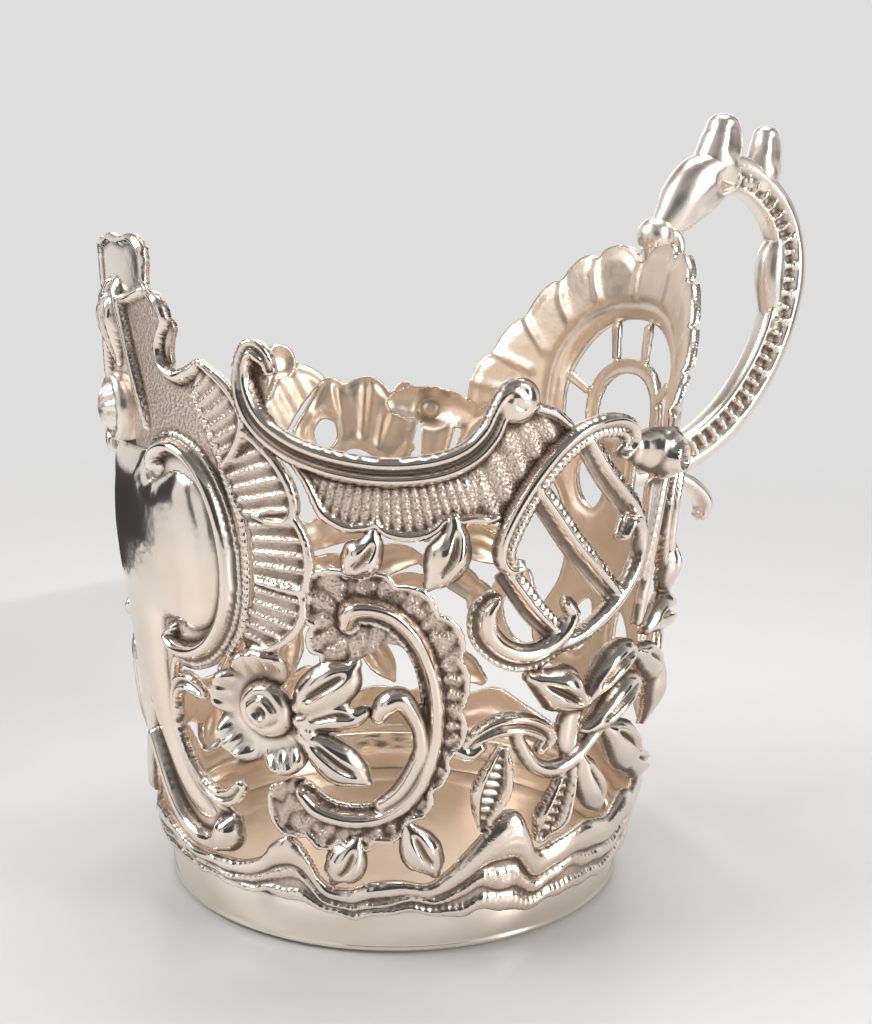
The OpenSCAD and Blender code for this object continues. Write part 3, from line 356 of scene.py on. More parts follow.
CARTOUCHE_FRAME = [
    [164.2, 77.4, 0.4, 0.6], [165.8, 77, 0.6, 0.9], [165.4, 79.2, 0.75, 1], [162.6, 80.9, 0.8, 1],
    [158.4, 81.4, 0.8, 1], [154, 79.8, 0.8, 1], [150.4, 76.2, 0.8, 1], [147.8, 71, 0.8, 1],
    [146.6, 65, 0.8, 1], [146.8, 59.4, 0.8, 1], [148.4, 54.6, 0.8, 1], [151.6, 50.6, 0.85, 1],
    [155.8, 48.2, 0.9, 1], [160.4, 47.4, 0.85, 1], [164.4, 48, 0.75, 1], [166.2, 49.8, 0.6, 0.9],
    [164.4, 51.2, 0.4, 0.6]
]
SIDE_SCROLL = [
    [156.4, 41.6, 0.6, 0.8], [159.6, 42.6, 0.8, 1], [163, 42, 0.8, 1], [165.2, 39.6, 0.7, 1],
    [165.6, 36, 0.7, 1], [164.4, 32, 0.7, 1], [161.8, 28.4, 0.7, 1], [158.2, 25.6, 0.75, 1],
    [154, 24.4, 0.8, 1], [150.4, 25, 0.8, 1], [148.2, 26.8, 0.6, 0.8]
]
CARTOUCHE_FAN = [
    [152.6, 94.2], [149.6, 93.6], [146.4, 91.8], [143.6, 89.6], [142, 87], [141.6, 84.6], [139, 82.8],
    [136, 80.8], [133.6, 77.6], [132.4, 74], [132.7, 71.8], [131.3, 70.2], [130.3, 67.6], [130, 65],
    [130.3, 62.4], [131.6, 60.4], [131.2, 58], [131.9, 56], [133.6, 53.6], [136.3, 51.7], [139.4, 50.4],
    [142.6, 50.2], [145, 51.6], [143.7, 54.8], [142.1, 59.4], [141.7, 64.6], [142.4, 70], [145, 74.6],
    [148, 79.8], [151.4, 85], [154.2, 89.6]
]
FAN_BORDER = [[50, 145.4], [58, 142.4], [65, 141.7], [72, 143.6], [80, 148.2], [88, 153.4]]
CARTOUCHE_FAN_RIMS = [
    [[150.8, 94.2], [148.6, 93], [146, 91.4], [143.6, 89.2], [142.2, 86.8], [142.6, 84.2], [144.4, 81.2],
     [147, 78.8]],
    [[142.4, 84.6], [139.4, 82.6], [136.6, 80.4], [134.2, 77.4], [133, 74.2], [133.6, 71.9], [136.6, 70.9],
     [141, 71.8]],
    [[133.3, 71.8], [131.9, 70], [130.9, 67.6], [130.6, 65], [130.9, 62.4], [132.2, 60.7], [136, 60.9],
     [141, 61.6]],
    [[132.2, 60.4], [131.8, 58], [132.6, 55.8], [134.2, 53.8], [136.8, 52.1], [139.8, 51], [142.8, 50.9]]
]
CREST_CURL = [
    [163.6, 104, 0.5, 0.7], [160.4, 102.8, 0.8, 1], [158.8, 100.2, 0.6, 0.9], [160.2, 98, 0.5, 0.9],
    [161.2, 95.6, 0.6, 0.9], [160, 93.2, 0.7, 1], [156.8, 91.8, 0.8, 1], [153.6, 92.4, 0.8, 1],
    [151.4, 93.8, 0.5, 0.8]
]
CREST_STALK = [
    [167.8, 83.4, 0.5, 0.6], [169.2, 88, 0.6, 0.9], [171.2, 93, 0.6, 1], [173.8, 98.4, 0.7, 1],
    [176, 103.4, 0.9, 1.1], [177.4, 105.6, 0.5, 0.6]
]
CREST_SHELL = [
    [180, 93.6, 0.5, 0.6], [180, 96.6, 0.9, 1.1], [180, 100, 1.15, 1.5], [180, 102.8, 0.9, 1.2],
    [180, 104, 0.4, 0.5]
]
CREST_EDGE = [
    [180, 112.6], [174, 111.9], [168.8, 112.1], [165.6, 110], [165.2, 105.6], [162.6, 103.8], [160.4, 102.8]
]
CREST_STEP = [[180, 103.1], [175, 103], [170, 103.5], [166.4, 104.4]]
RIM_FAN = [
    [140.2, 95], [137.6, 93], [138, 88.4], [133.6, 84.6], [128, 82.4], [121, 81], [113, 80.8], [106, 82],
    [102, 84.2], [100, 87.2], [98, 90.6], [94.6, 92], [91.4, 89.4], [87.6, 88.2], [84, 85.8], [86.8, 83.4],
    [90.6, 79.8], [94, 75.6], [97.2, 71.6], [99, 71.4], [101.6, 71.8], [104.6, 71.4], [107, 71.6],
    [109, 69.8], [111.6, 69], [114.4, 69], [117.2, 69.8], [118.6, 71.2], [120.4, 70.3], [123.4, 70.1],
    [126, 70.9], [128.6, 72.4], [130, 74.8], [131.4, 77.6], [133.8, 80.6], [136.6, 82.8], [139.6, 85],
    [141.2, 88.4], [142, 92]
]
RIM_FAN_RIMS = [
    [[97.4, 72.4], [99.4, 72], [101.8, 72.3], [104.6, 71.9], [107.2, 72.3]],
    [[107, 72.2], [109, 70.5], [111.6, 69.7], [114.4, 69.7], [117.2, 70.4], [118.8, 71.8]],
    [[118.6, 71.8], [120.4, 71], [123.4, 70.8], [125.8, 71.6], [128.1, 73.1], [129.5, 75.5], [131, 78],
     [133.6, 81]],
    [[84.6, 85.6], [87.6, 87.4], [91.6, 88.6], [94.6, 91]]
]
RIM_SCROLL = [
    [136.4, 93.4, 0.35, 0.6], [137.6, 95.6, 0.55, 0.9], [139.8, 96.6, 0.6, 1], [141.4, 94.4, 0.65, 1],
    [141.6, 91, 0.75, 1], [140.2, 87.4, 0.85, 1], [137.2, 84.4, 0.9, 1], [132, 81.8, 0.95, 1],
    [125, 80, 1, 1], [117, 79.2, 1, 1], [109, 79.8, 1, 1], [103.4, 81.7, 0.95, 1], [100, 84.6, 0.9, 1],
    [98.4, 87.6, 0.85, 1], [96.8, 89.6, 1, 1], [94.6, 90, 0.7, 0.95]
]
MEDALLION_PLATE = [
    [131.2, 61.6], [128.6, 63.8], [124.4, 64], [121, 63.2], [118.6, 63.9], [116.4, 63.4], [115, 61.8],
    [112.4, 61.7], [109.8, 60.8], [108.2, 59], [107.4, 57.4], [105.2, 56.6], [103.4, 54.8], [102.7, 52.4],
    [103.2, 50.4], [101.7, 48], [101.6, 45], [102.6, 42], [101.6, 39.4], [102.2, 36.8], [104.6, 34.6],
    [104.5, 32.6], [105.8, 30.4], [107.8, 29.2], [107.8, 26.8], [109.4, 25], [112, 24.4], [113.2, 22.2],
    [115.6, 20.9], [118.6, 20.9], [120, 19.4], [123, 19.2], [125.4, 20.4], [127.6, 19], [130.4, 19.2],
    [132.4, 20.8], [135, 20.4], [138, 21], [140, 23], [140.6, 26], [139.4, 28.4], [136.6, 29.8],
    [133.6, 30.2], [131.4, 28.6], [127, 26.9], [122, 26.3], [117.6, 27.1], [113.9, 29.4], [111.1, 33],
    [109.7, 37.6], [109.3, 42], [110, 46.6], [111.9, 50.6], [114.4, 52.8], [117, 53], [119.2, 51.8],
    [121.6, 50.6], [123.6, 50.3], [125.2, 49], [127.4, 48.6], [129, 49.8], [129.2, 51.4], [130.8, 51.6],
    [131.5, 53.2], [130.9, 54.9], [130, 55.7], [131.6, 56.2], [132.1, 58.2], [131.1, 59.9], [130.2, 60.4]
]
MEDALLION_CUSPS = [0, 3, 6, 10, 14, 17, 21, 25, 27, 30, 33, 36, 40]
MEDALLION_SCROLL = [
    [123.6, 56, 0.7, 1], [122.6, 57.8, 1.05, 1.3], [119.6, 58.2, 0.95, 1.2], [115.8, 57, 0.9, 1],
    [112.4, 54.2, 0.85, 1], [110, 50.4, 0.8, 1], [108.5, 45.8, 0.8, 1], [108, 41, 0.8, 1],
    [108.5, 36, 0.8, 1], [110.3, 31.4, 0.8, 1], [113.2, 27.9, 0.85, 1], [117.4, 25.6, 0.85, 1],
    [122, 24.8, 0.9, 1], [126.6, 25, 0.9, 1], [130.4, 26.2, 0.9, 1.1], [132.8, 28.4, 0.7, 1.1]
]
MEDALLION_CURL = [
    [118.2, 41.6, 0.6, 0.8], [116.8, 43.6, 0.9, 1.2], [114.4, 44.4, 0.9, 1.1], [112.4, 42.8, 0.7, 1],
    [110.6, 39.8, 0.6, 1], [110.2, 36.2, 0.6, 1], [111.9, 32.6, 0.6, 1], [114.5, 29.2, 0.6, 1],
    [117.8, 27, 0.5, 0.8]
]
# Each petal's direction in degrees, its reach and half its breadth, and the directions of the gaps
PETALS = [[104, 7.9, 4.3], [168, 8.5, 3.2], [224, 9.0, 3.6], [290, 8.8, 3.4], [340, 7.2, 2.8]]
PETAL_GAPS = [138, 197, 257, 315]
SPRAY = [
    [[133.6, 42.4, 0.4, 0.8], [131.4, 43.6, 0.9, 1.2], [127.8, 45.8, 1.1, 1.4], [124.4, 47.8, 0.9, 1.1],
     [122.6, 49.6, 0.3, 0.6]],
    [[133.4, 40, 0.4, 0.8], [129.4, 40.6, 0.6, 1], [125.6, 41.6, 0.8, 1.2], [122.8, 41.4, 0.5, 0.9],
     [120.8, 42.2, 0.3, 0.6]],
    [[133, 38, 0.3, 0.8], [129.6, 36, 0.8, 1.2], [125.6, 33.4, 1, 1.3], [122.4, 31.8, 0.7, 1],
     [120.2, 30.4, 0.2, 0.5]]
]
BUD_ROWS = [
    [[119.2, 70.2, 0.3, 0.7], [119.6, 68.4, 0.7, 1.1], [121, 66.6, 1.05, 1.5], [122.8, 65, 0.8, 1.1],
     [124, 63.8, 0.3, 0.5]],
    [[105.4, 72.4, 0.3, 0.7], [105.2, 69.4, 0.8, 1.1], [106.2, 66.6, 1.15, 1.6], [107.8, 64, 0.9, 1.1],
     [109.4, 62.2, 0.3, 0.5]],
    [[122.6, 20.6, 0.3, 0.6], [123.8, 18.4, 0.9, 1.2], [125.2, 16.2, 1.1, 1.5], [126.8, 14.6, 0.8, 1.1],
     [127.6, 13.4, 0.3, 0.6]],
    [[112.6, 23.4, 0.3, 0.6], [111, 21, 0.9, 1.2], [109.4, 18.6, 1.1, 1.5], [107.6, 16.6, 0.8, 1.1],
     [106.6, 15, 0.3, 0.6]]
]
LATTICE_BAND = [
    [70.6, 80.8, 0.6, 0.8], [69.2, 82.2, 0.8, 1], [70, 84.2, 0.9, 1], [73.6, 85.2, 1, 1], [78, 85, 1, 1],
    [82, 83.8, 1.1, 1], [86, 81.4, 1.1, 1], [89.4, 78.2, 1.1, 1], [92.4, 74.4, 1.1, 1],
    [94.8, 70.4, 1.1, 1], [96, 67, 1, 1], [95, 64.8, 0.8, 1], [93, 64.6, 0.6, 0.8]
]
LATTICE_SCROLL = [
    [98, 59.6, 0.8, 1.1], [99.4, 57.6, 1.1, 1.2], [99, 54.4, 1.2, 1.1], [96.4, 51.8, 1.2, 1],
    [92.6, 50.2, 1.2, 1], [88.6, 50, 1.2, 1], [84.8, 51.2, 1.1, 1], [81.8, 53.4, 1, 1], [80.6, 56, 0.8, 1],
    [81.8, 57.8, 0.6, 0.8]
]
LATTICE_TAIL = [
    [84, 50.8, 0.7, 0.8], [79, 51.8, 0.9, 1], [74, 53.4, 1, 1], [69.4, 55.6, 1, 1], [65.4, 58.4, 1, 1],
    [62.4, 62, 1, 1], [61.8, 66, 1, 1], [63.6, 69, 0.9, 1], [66.6, 69.6, 0.8, 1], [68.4, 67.4, 0.6, 0.9]
]
LATTICE_BAR = [
    [[95, 64.2, 0.8, 0.9], [92, 61, 0.9, 1], [88.6, 57.6, 0.9, 1], [84.6, 54.4, 0.8, 0.9]],
    [[91, 77.6, 0.8, 0.9], [86, 72.6, 0.9, 1], [81, 67.6, 0.9, 1], [75.4, 63.2, 0.9, 1],
     [69, 58.6, 0.8, 0.9]],
    [[79.6, 83.6, 0.8, 0.9], [75, 78.8, 0.9, 1], [70, 75, 0.9, 1], [65, 71.6, 0.9, 1],
     [60.6, 67.4, 0.8, 0.9]]
]
SHELL_PANEL = [
    [84.4, 85.4], [81.4, 85.8], [78.6, 84.4], [76, 85.6], [72, 86], [69, 84.6], [67, 82.6], [65.4, 84.6],
    [62.4, 84.8], [60.6, 81.6], [60.4, 76], [62, 70], [61, 64], [62.4, 58.4], [66, 55], [71, 52.8],
    [77, 51], [84, 49.6], [91, 48.8], [97, 50.6], [100.4, 54.6], [100.4, 59.4], [98, 61.4], [95.6, 59],
    [92.6, 56.2], [89, 55.2], [86, 56.6], [85.4, 60], [87, 64], [89.6, 67.6], [90.4, 71.4], [92.4, 74],
    [89.6, 78.2], [87, 81.6]
]
SHELL_WINDOW = [
    [[82, 58.4], [78, 56.2], [73, 57.4], [69.8, 60.8], [69.6, 65.6], [72.6, 69.4], [77.4, 70.6], [81.6, 68],
     [83, 63.4]],
    [[86.4, 72.2], [84, 70.4], [81, 72.6], [81.4, 76], [84.6, 77], [86.8, 75]]
]
SHELL_RIB = [
    [[79, 73.4], [80.6, 84]],
    [[74.6, 73.4], [73.6, 84.6]],
    [[70.4, 71.6], [68.8, 77.8]],
    [[66.8, 66.4], [62.4, 71]],
    [[67, 60.4], [62.4, 60]]
]
VOLUTE_HORN = [
    [65.2, 80.8, 0.9, 1.0], [62.6, 80.6, 1.15, 1.4], [59, 80.2, 1.3, 1.7], [55.4, 79.8, 1.36, 1.8],
    [51.8, 79.2, 1.3, 1.7], [48.8, 78.4, 1.1, 1.3]
]
VOLUTE_STRAP = [
    [55, 80, 0.9, 0.5], [56.4, 75, 0.8, 0.5], [57.2, 70, 0.6, 0.5], [58.2, 64.8, 0.45, 0.5],
    [59.2, 59.6, 0.4, 0.4]
]
VOLUTE_RIB = [
    [51, 79, 0.6, 0.9], [53, 73, 0.6, 1], [55, 66, 0.6, 1], [56.8, 58, 0.6, 1], [57.4, 51.4, 0.5, 0.8]
]
VOLUTE_SCROLL = [
    [30, 76, 0.6, 0.8], [35, 78.4, 0.8, 1], [41, 78.6, 0.9, 1], [46, 75.6, 0.9, 1], [48.6, 70, 0.9, 1],
    [48, 63, 0.9, 1], [44.6, 57.4, 0.9, 1], [39, 55, 0.8, 1], [34.4, 57.6, 0.6, 0.9], [34.6, 61.6, 0.4, 0.7]
]
VINE_STEM = [
    [[91.6, 38, 0.7, 0.9], [89.4, 34.4, 0.8, 1], [86.4, 31.6, 0.9, 1], [82.6, 30.4, 1, 1], [79, 30.6, 1, 1],
     [75.6, 31.8, 1, 1], [72, 34, 0.9, 1], [68, 36.6, 0.9, 1]],
    [[101.2, 36.2, 0.5, 0.7], [99, 38, 0.9, 1], [95, 39.4, 1.2, 1.2], [90.4, 39.2, 1.2, 1.2],
     [86.4, 37.8, 1, 1.1], [84.2, 36, 0.8, 1], [85.4, 34.2, 0.5, 0.7]],
    [[103, 35.6, 0.6, 0.7], [100.6, 34.8, 0.7, 0.9], [98.6, 36, 0.6, 0.9]]
]
VINE_POD = [
    [[94, 35, 0.3, 0.8], [94.8, 32, 0.8, 1.1], [95.8, 28.6, 1.1, 1.2], [96.6, 25.4, 0.8, 1],
     [97, 22, 0.2, 0.5]],
    [[77.6, 31, 0.3, 0.8], [78.4, 28, 0.7, 1.1], [80, 24.4, 1, 1.3], [81.6, 21.4, 1.1, 1.3],
     [83, 18.8, 0.4, 0.6]]
]
VINE_LEAF = [
    [[75.4, 31.6, 0.3, 0.8], [73.4, 28.8, 0.8, 1.1], [70.6, 25.4, 1, 1.3], [68, 22.6, 0.8, 1],
     [66, 20.2, 0.2, 0.5]],
    [[75.4, 40.4, 0.3, 0.8], [79, 42.2, 0.9, 1.3], [82.6, 44.2, 1.3, 1.6], [85.8, 45.4, 0.9, 1.2],
     [89.2, 46.6, 0.3, 0.6]],
    [[75.6, 41, 0.3, 0.8], [72, 44, 0.9, 1.2], [67.6, 46.4, 1.1, 1.3], [62.6, 47, 0.8, 1],
     [58.4, 46.4, 0.2, 0.5]],
    [[74.4, 36, 0.3, 0.8], [69.6, 37.6, 0.9, 1.2], [64, 40, 1.1, 1.3], [59, 41, 0.8, 1],
     [55.4, 41, 0.3, 0.5]],
    [[69, 35.4, 0.3, 0.8], [64.6, 33.4, 0.9, 1.2], [60, 30.6, 1.3, 1.5], [56, 27.4, 1, 1.2],
     [53.4, 24.8, 0.4, 0.6]],
    [[56, 27, 0.4, 0.8], [50.4, 25.4, 0.9, 1.2], [45.4, 23.4, 1, 1.2], [40.6, 21.4, 0.4, 0.6]],
    [[58.4, 46.4, 0.4, 0.8], [52.6, 44.4, 0.9, 1.2], [47, 42, 1, 1.2], [42.4, 38.6, 0.6, 0.8]],
    [[47, 43, 0.3, 0.8], [43.6, 40.4, 0.9, 1.2], [41.2, 37, 1.15, 1.4], [39.6, 33.4, 0.9, 1.1],
     [38.8, 29.6, 0.3, 0.5]]
]
VINE_LOBE = [[75.8, 41.6, 0.5, 0.6], [77.6, 38.6, 0.8, 0.8], [78, 35, 0.8, 0.8], [76.6, 31.4, 0.5, 0.6]]
SIDE_BUD = [
    [54, 49.4, 0.3, 0.8], [49, 50.8, 0.9, 1.3], [43.6, 50.8, 1.15, 1.6], [38.6, 49.2, 0.9, 1.1],
    [35.4, 47, 0.3, 0.5]
]
SIDE_LEAF = [
    [43, 54, 0.3, 0.8], [44, 56.8, 1, 1.3], [44.4, 59.6, 1.2, 1.5], [43.6, 62.2, 0.9, 1.1],
    [42.4, 64.4, 0.3, 0.5]
]
ARCH_OUTER = [
    [48, 79], [47.4, 84], [46, 88.4], [43.8, 90.8], [42, 91.6], [40.6, 94.2], [38.4, 96.8], [35.6, 98.8],
    [34, 99.2], [32.4, 101.8], [30, 104.6], [27, 106.6], [24.6, 106.9], [22.8, 109.2], [20, 111.2],
    [17.2, 112], [14.6, 111.2], [12.8, 113], [9.6, 113.8], [6, 113.6], [3, 112.4], [0, 110.4]
]
ARCH_INNER = [[21, 77.4], [21, 84], [20, 89], [17, 93.6], [12.6, 97], [7, 99], [0, 99.6]]
ARCH_GROOVES = [
    [[42, 91.8], [37.6, 90.6], [31, 88.4]],
    [[34, 99.4], [31.4, 96.4], [27.4, 92.4]],
    [[24.6, 107.2], [23.6, 102.6], [20.4, 98.4]],
    [[14.6, 111.6], [14, 107], [11.8, 102.4]],
    [[0, 111], [0, 106], [0, 102.6]],
    [[46.6, 85.6], [40, 84.4], [31, 83]]
]
ARCH_MOULDING = [
    [25.4, 77.4, 0.8, 0.8], [25.2, 84, 1, 1], [24, 90, 1, 1], [20.4, 95.6, 1, 1], [14.6, 99.6, 1, 1],
    [7.4, 101.6, 1, 1], [-1, 102, 1, 1]
]
ARCH_RING = [[12.4, 77.6, 1, 1], [12.6, 82.4, 1, 1], [10.4, 87, 1, 1], [5.8, 89.8, 1, 1], [0, 90.6, 1, 1]]
SPOKE = [[[5.6, 92.1, 0.6, 0.6], [6.2, 98, 0.8, 0.6]], [[14.2, 85.2, 0.7, 0.6], [19.4, 87.6, 0.8, 0.6]]]
HANDLE_PLATE_UPPER = [[29.4, 76.6], [26, 77.2], [21, 77], [12.4, 77.2], [0, 78.4]]
HANDLE_PLATE_LOWER = [
    [31, 74], [27.4, 69.4], [22.4, 65.6], [18.6, 60], [17, 53], [18, 46.4], [22, 41], [25.4, 36],
    [24.4, 31.4], [19.6, 28.4], [12, 26.6], [6.6, 22.4], [0, 18]
]
PLATE_WINDOW = [
    [[6, 73.6], [12, 73], [15.4, 69.4], [13.6, 63.6], [8.4, 62], [5.4, 66]],
    [[5.4, 43], [9.6, 42.6], [14, 38.6], [14.6, 34], [9.4, 32.4], [5, 36]]
]
PLATE_SCROLL = [
    [20.6, 31.6, 0.6, 0.8], [24.2, 29.8, 0.8, 0.9], [28.8, 29, 0.9, 1], [33.6, 30.4, 0.9, 1],
    [37, 34.4, 0.9, 1], [37.6, 39.4, 0.9, 1], [35, 43.8, 0.9, 1], [30.6, 45.2, 0.8, 1], [28, 42.4, 0.5, 0.8]
]
# In the handle's plane: percent of the handle's reach and of the crest's height, breadth and depth shares
BOW = [
    [23, 171.9, 1.2, 1.4], [32, 190.7, 1.25, 1.5], [43.4, 200, 1.15, 1.2], [56, 200, 1, 1],
    [69.2, 186.1, 0.95, 0.95], [81, 161.3, 0.95, 0.95], [88.2, 127.8, 0.95, 1], [89.6, 98.4, 1, 1.15],
    [87.3, 92.1, 1, 1.05], [81.9, 86, 1, 1], [73.3, 79.9, 1, 1], [62, 74.3, 1, 1], [49, 69.8, 1, 1],
    [34.4, 66.4, 1, 1], [19.4, 64.4, 1.05, 1], [6, 63.7, 1.15, 1.1]
]
CURL = [
    [19.8, 62.3, 0.75, 0.6], [29.6, 61.3, 0.85, 0.6], [38.3, 59.3, 0.85, 0.6], [43.4, 56.8, 0.85, 0.6],
    [42, 54.5, 0.6, 0.4]
]
# The same in millimetres from the cup's axis and up
BOW_SWELL = [
    [67.8, 93.4, 0.4, 0.4], [66.5, 90.6, 0.85, 0.85], [66.1, 87.4, 0.95, 1.0], [66.4, 83.6, 0.85, 0.9],
    [66.9, 78, 0.6, 0.6]
]
LOBES = [
    [[54.0, 101.2, 0.8, 1.95], [54.5, 103.4, 1.16, 1.84], [55.0, 106.0, 1.18, 1.6],
     [55.3, 108.2, 1.1, 1.38], [55.3, 109.8, 0.92, 1.1]],
    [[62.2, 99.8, 0.7, 1.5], [63.2, 102.6, 0.98, 1.42], [63.8, 105.2, 0.95, 1.22],
     [63.9, 107.2, 0.88, 1.06], [63.8, 108.5, 0.76, 0.88]]
]
SADDLE = [[57.0, 106.6, 0.3, 0.4], [58.2, 103.4, 0.5, 0.6], [60.6, 101.2, 0.6, 0.7], [63.6, 99.6, 0.4, 0.5]]
# From the middle of the knob in millimetres
KNOB_CURL = [
    [1.0, 1.0, 0.7, 0.5], [3.0, -0.3, 0.85, 0.62], [3.4, -2.4, 0.9, 0.66], [2.0, -4.2, 0.85, 0.62],
    [0.2, -5.6, 0.75, 0.5], [-0.9, -7.2, 0.6, 0.4]
]
# Down the crest: height in percent, lift off the wall in knob radii, breadth and depth shares
STEM_ON_CREST = [
    [114, 0.66, 0.8, 0.6], [111, 0.62, 0.8, 0.5], [107.6, 0.64, 0.9, 0.5], [104.4, 0.56, 0.8, 0.4]
]


# The reliefs that are laid on the wall
def mirrored(rows):
    return rows + [[360 - a, p] for a, p in reversed(rows)]


def both_ways(rows):
    return rows + [[-row[0]] + row[1:] for row in reversed(rows[:-1])]


def rim(wall, name, rows, breadth=1.25, height=1.25):
    """A raised bright edge along a row of places, thinner at its ends."""
    n = len(rows)
    shares = [0.55 + 0.45 * math.sin(math.pi * min(1, (i + 0.6) / (n - 0.4))) for i in range(n)]
    wall.bar(name, [[a, p, k, 0.75 + 0.25 * k] for (a, p), k in zip(rows, shares)], breadth, height, wire)


def lay_waves(wall):
    table = smooth(WAVE, 6)
    top, low = [rise_of(np.interp(wall.a, table[:, 0], table[:, k]))[None, :] + 0 * wall.Z for k in (1, 2)]
    around = wall.A * DEGREE
    low = low + 0.16 * np.sin(around * 46) + 0.12 * np.sin(around * 23 + 1)
    tall = top - low
    t = (wall.Z - low) / tall
    swell = step(tall, 5.0, 12.0)
    wander = 0.05 * np.sin(around * 11) + 0.03 * np.sin(around * 29 + 2)
    flutes = 0.5 + 0.5 * np.cos(around * wall.R * FULL_TURN / 0.85)
    uneven = coarse(t.shape, 3)
    height = 0.25 + 0.12 * flutes * bump((t - 0.25) / 0.12) + 0.1 * flutes * bump((t - 0.55) / 0.1)
    height = np.maximum(height, 0.15 + (0.75 + 0.1 * flutes) * bump((t - 0.09) / 0.1))
    height = np.maximum(height, 0.25 + (0.85 + 0.15 * uneven) * bump((t - 0.4 - wander) / 0.11))
    streaks = 0.5 + 0.5 * np.cos((1 - t) * tall * FULL_TURN / 1.15 + 1.6 * uneven)
    streaks = streaks * swell * bump((t - 0.74) / 0.24)
    roll = bump((t - 0.78 - 0.3 * wander) / 0.23)
    height = np.maximum(height, 0.3 + (0.95 + 0.75 * swell) * roll - 0.13 * streaks)
    inside = np.maximum(low - wall.Z, wall.Z - top) * 0.85
    stipple = 0.35 * flutes * (t < 0.62) * (t > 0.14) + 0.22 * streaks
    wall.lay((slice(None), slice(None)), "wave_border", inside, height, stipple)


def lay_cartouche(wall):
    def ground(w, inside):
        return 0.3 * bump((inside + 0.5) / 0.5)

    def shield(w, inside):
        swell = np.interp(wall.Z[w] / WALL_HEIGHT * 100, *zip(*SWELL))
        return 0.05 + 1.6 * swell * (1 - np.exp(np.minimum(inside, 0) / 1.5))

    w, inside = wall.plate("cartouche_panel", mirrored(CARTOUCHE_HALF), ground, 3)
    stippled = (wall.Z[w] > 0.8 * WALL_HEIGHT) & (wall.Z[w] < 82.6) & (inside < -0.9) & (wall.A[w] < 174)
    wall.stipple[w] = np.where(stippled, 0.9, wall.stipple[w])
    wall.bar("cartouche_panel", PANEL_BEADS, 1.0, 0.75, beaded)
    wall.plate("cartouche_shield", mirrored(SHIELD_HALF), shield, 4)
    for rows in (APRON_LEG, [[360 - row[0]] + row[1:] for row in APRON_LEG]):
        wall.bar("apron_ridge", rows, 3.0, 1.7, rounded)
    wall.bar("cartouche_frame", CARTOUCHE_FRAME, 3.3, 1.9, c_ridge)
    wall.bar("side_scroll", SIDE_SCROLL, 3.0, 1.7, twin)


def lay_crest(wall):
    wall.bar("front_crest", CREST_CURL, 2.0, 1.5, rounded)
    wall.bar("front_crest", CREST_STALK, 2.2, 1.25, rounded)
    wall.bar("front_crest", CREST_SHELL, 4.8, 1.5, serrated)
    rim(wall, "cartouche_panel", CREST_EDGE, 0.9, 0.8)
    rim(wall, "cartouche_panel", CREST_STEP, 1.2, 0.9)


def lay_cartouche_fan(wall):
    def flutes(w, inside):
        far, turn = wall.polar(w, 188, 66)[:2]
        ribs = (0.5 + 0.5 * np.cos(turn / DEGREE * FULL_TURN / 2.9)) ** 3.2
        off_frame = np.interp(wall.Z[w] / 0.8, *zip(*FAN_BORDER)) - wall.A[w]
        dotted = np.maximum(1 - step(off_frame, 0.8, 3.4), step(wall.Z[w], 67.4, 68.0))
        dotted = np.maximum(dotted, 1 - step(wall.Z[w], 45.6, 46.8))
        beads = 0.5 + 0.5 * np.cos(far * FULL_TURN / 0.62)
        hollow = bump((inside + 2.2) / 2.4)
        return 0.1 + 0.62 * ribs * (1 - 0.5 * dotted * beads) + 0.2 * step(off_frame, 2, 12) - 0.12 * hollow

    wall.plate("cartouche_fan", CARTOUCHE_FAN, flutes, 3, 0.55)
    for rows in CARTOUCHE_FAN_RIMS:
        rim(wall, "cartouche_fan", rows)


def lay_rim(wall):
    def flutes(w, inside):
        a, z = wall.A[w], wall.Z[w]
        s = -(a - 117) * DEGREE * wall.R[w]
        ribs = np.abs(np.cos((s + 0.045 * s * (z - 60)) * math.pi / 1.12)) ** 1.5
        there = step(a, 101, 103.5) * (1 - step(a, 130.5, 132)) * (1 - step(z, 62.0, 62.8))
        beads = 0.5 + 0.5 * np.cos(z * FULL_TURN / 0.6 + 2 * s)
        grain = 0.06 * coarse(s.shape, 9) * (1 - there)
        folds = 0.16 * np.cos((s + 0.5 * z) * 2.1) * (1 - there) * (a < 101)
        return 0.12 + there * ribs * (0.3 + 0.14 * beads) + grain + folds

    w = wall.plate("rim_fan", RIM_FAN, flutes, 3, 1.0)[0]
    plain = (wall.Z[w] > 61.6) & (wall.Z[w] < 66.5) & (wall.A[w] > 103) & (wall.A[w] < 132)
    wall.stipple[w] = np.where(plain & (wall.owner[w] == OWN["rim_fan"]), 0.25, wall.stipple[w])
    for rows in RIM_FAN_RIMS:
        rim(wall, "rim_fan", rows, 1.15, 1.15)
    wall.bar("rim_scroll", RIM_SCROLL, 3.5, 2.0, twin)
    w = wall.window([[95.2, 89.8]], 3.6)
    far, turn, x, y = wall.polar(w, 95.2, 89.6)
    coil = 0.35 * bell(far - 1.0 - 0.16 * turn, 0, 0.3) * (x < 0.6)
    wall.lay(w, "rim_scroll", far - 2.7, 0.6 + 1.6 * bump(np.minimum(far / 2.75, 1)) - coil)


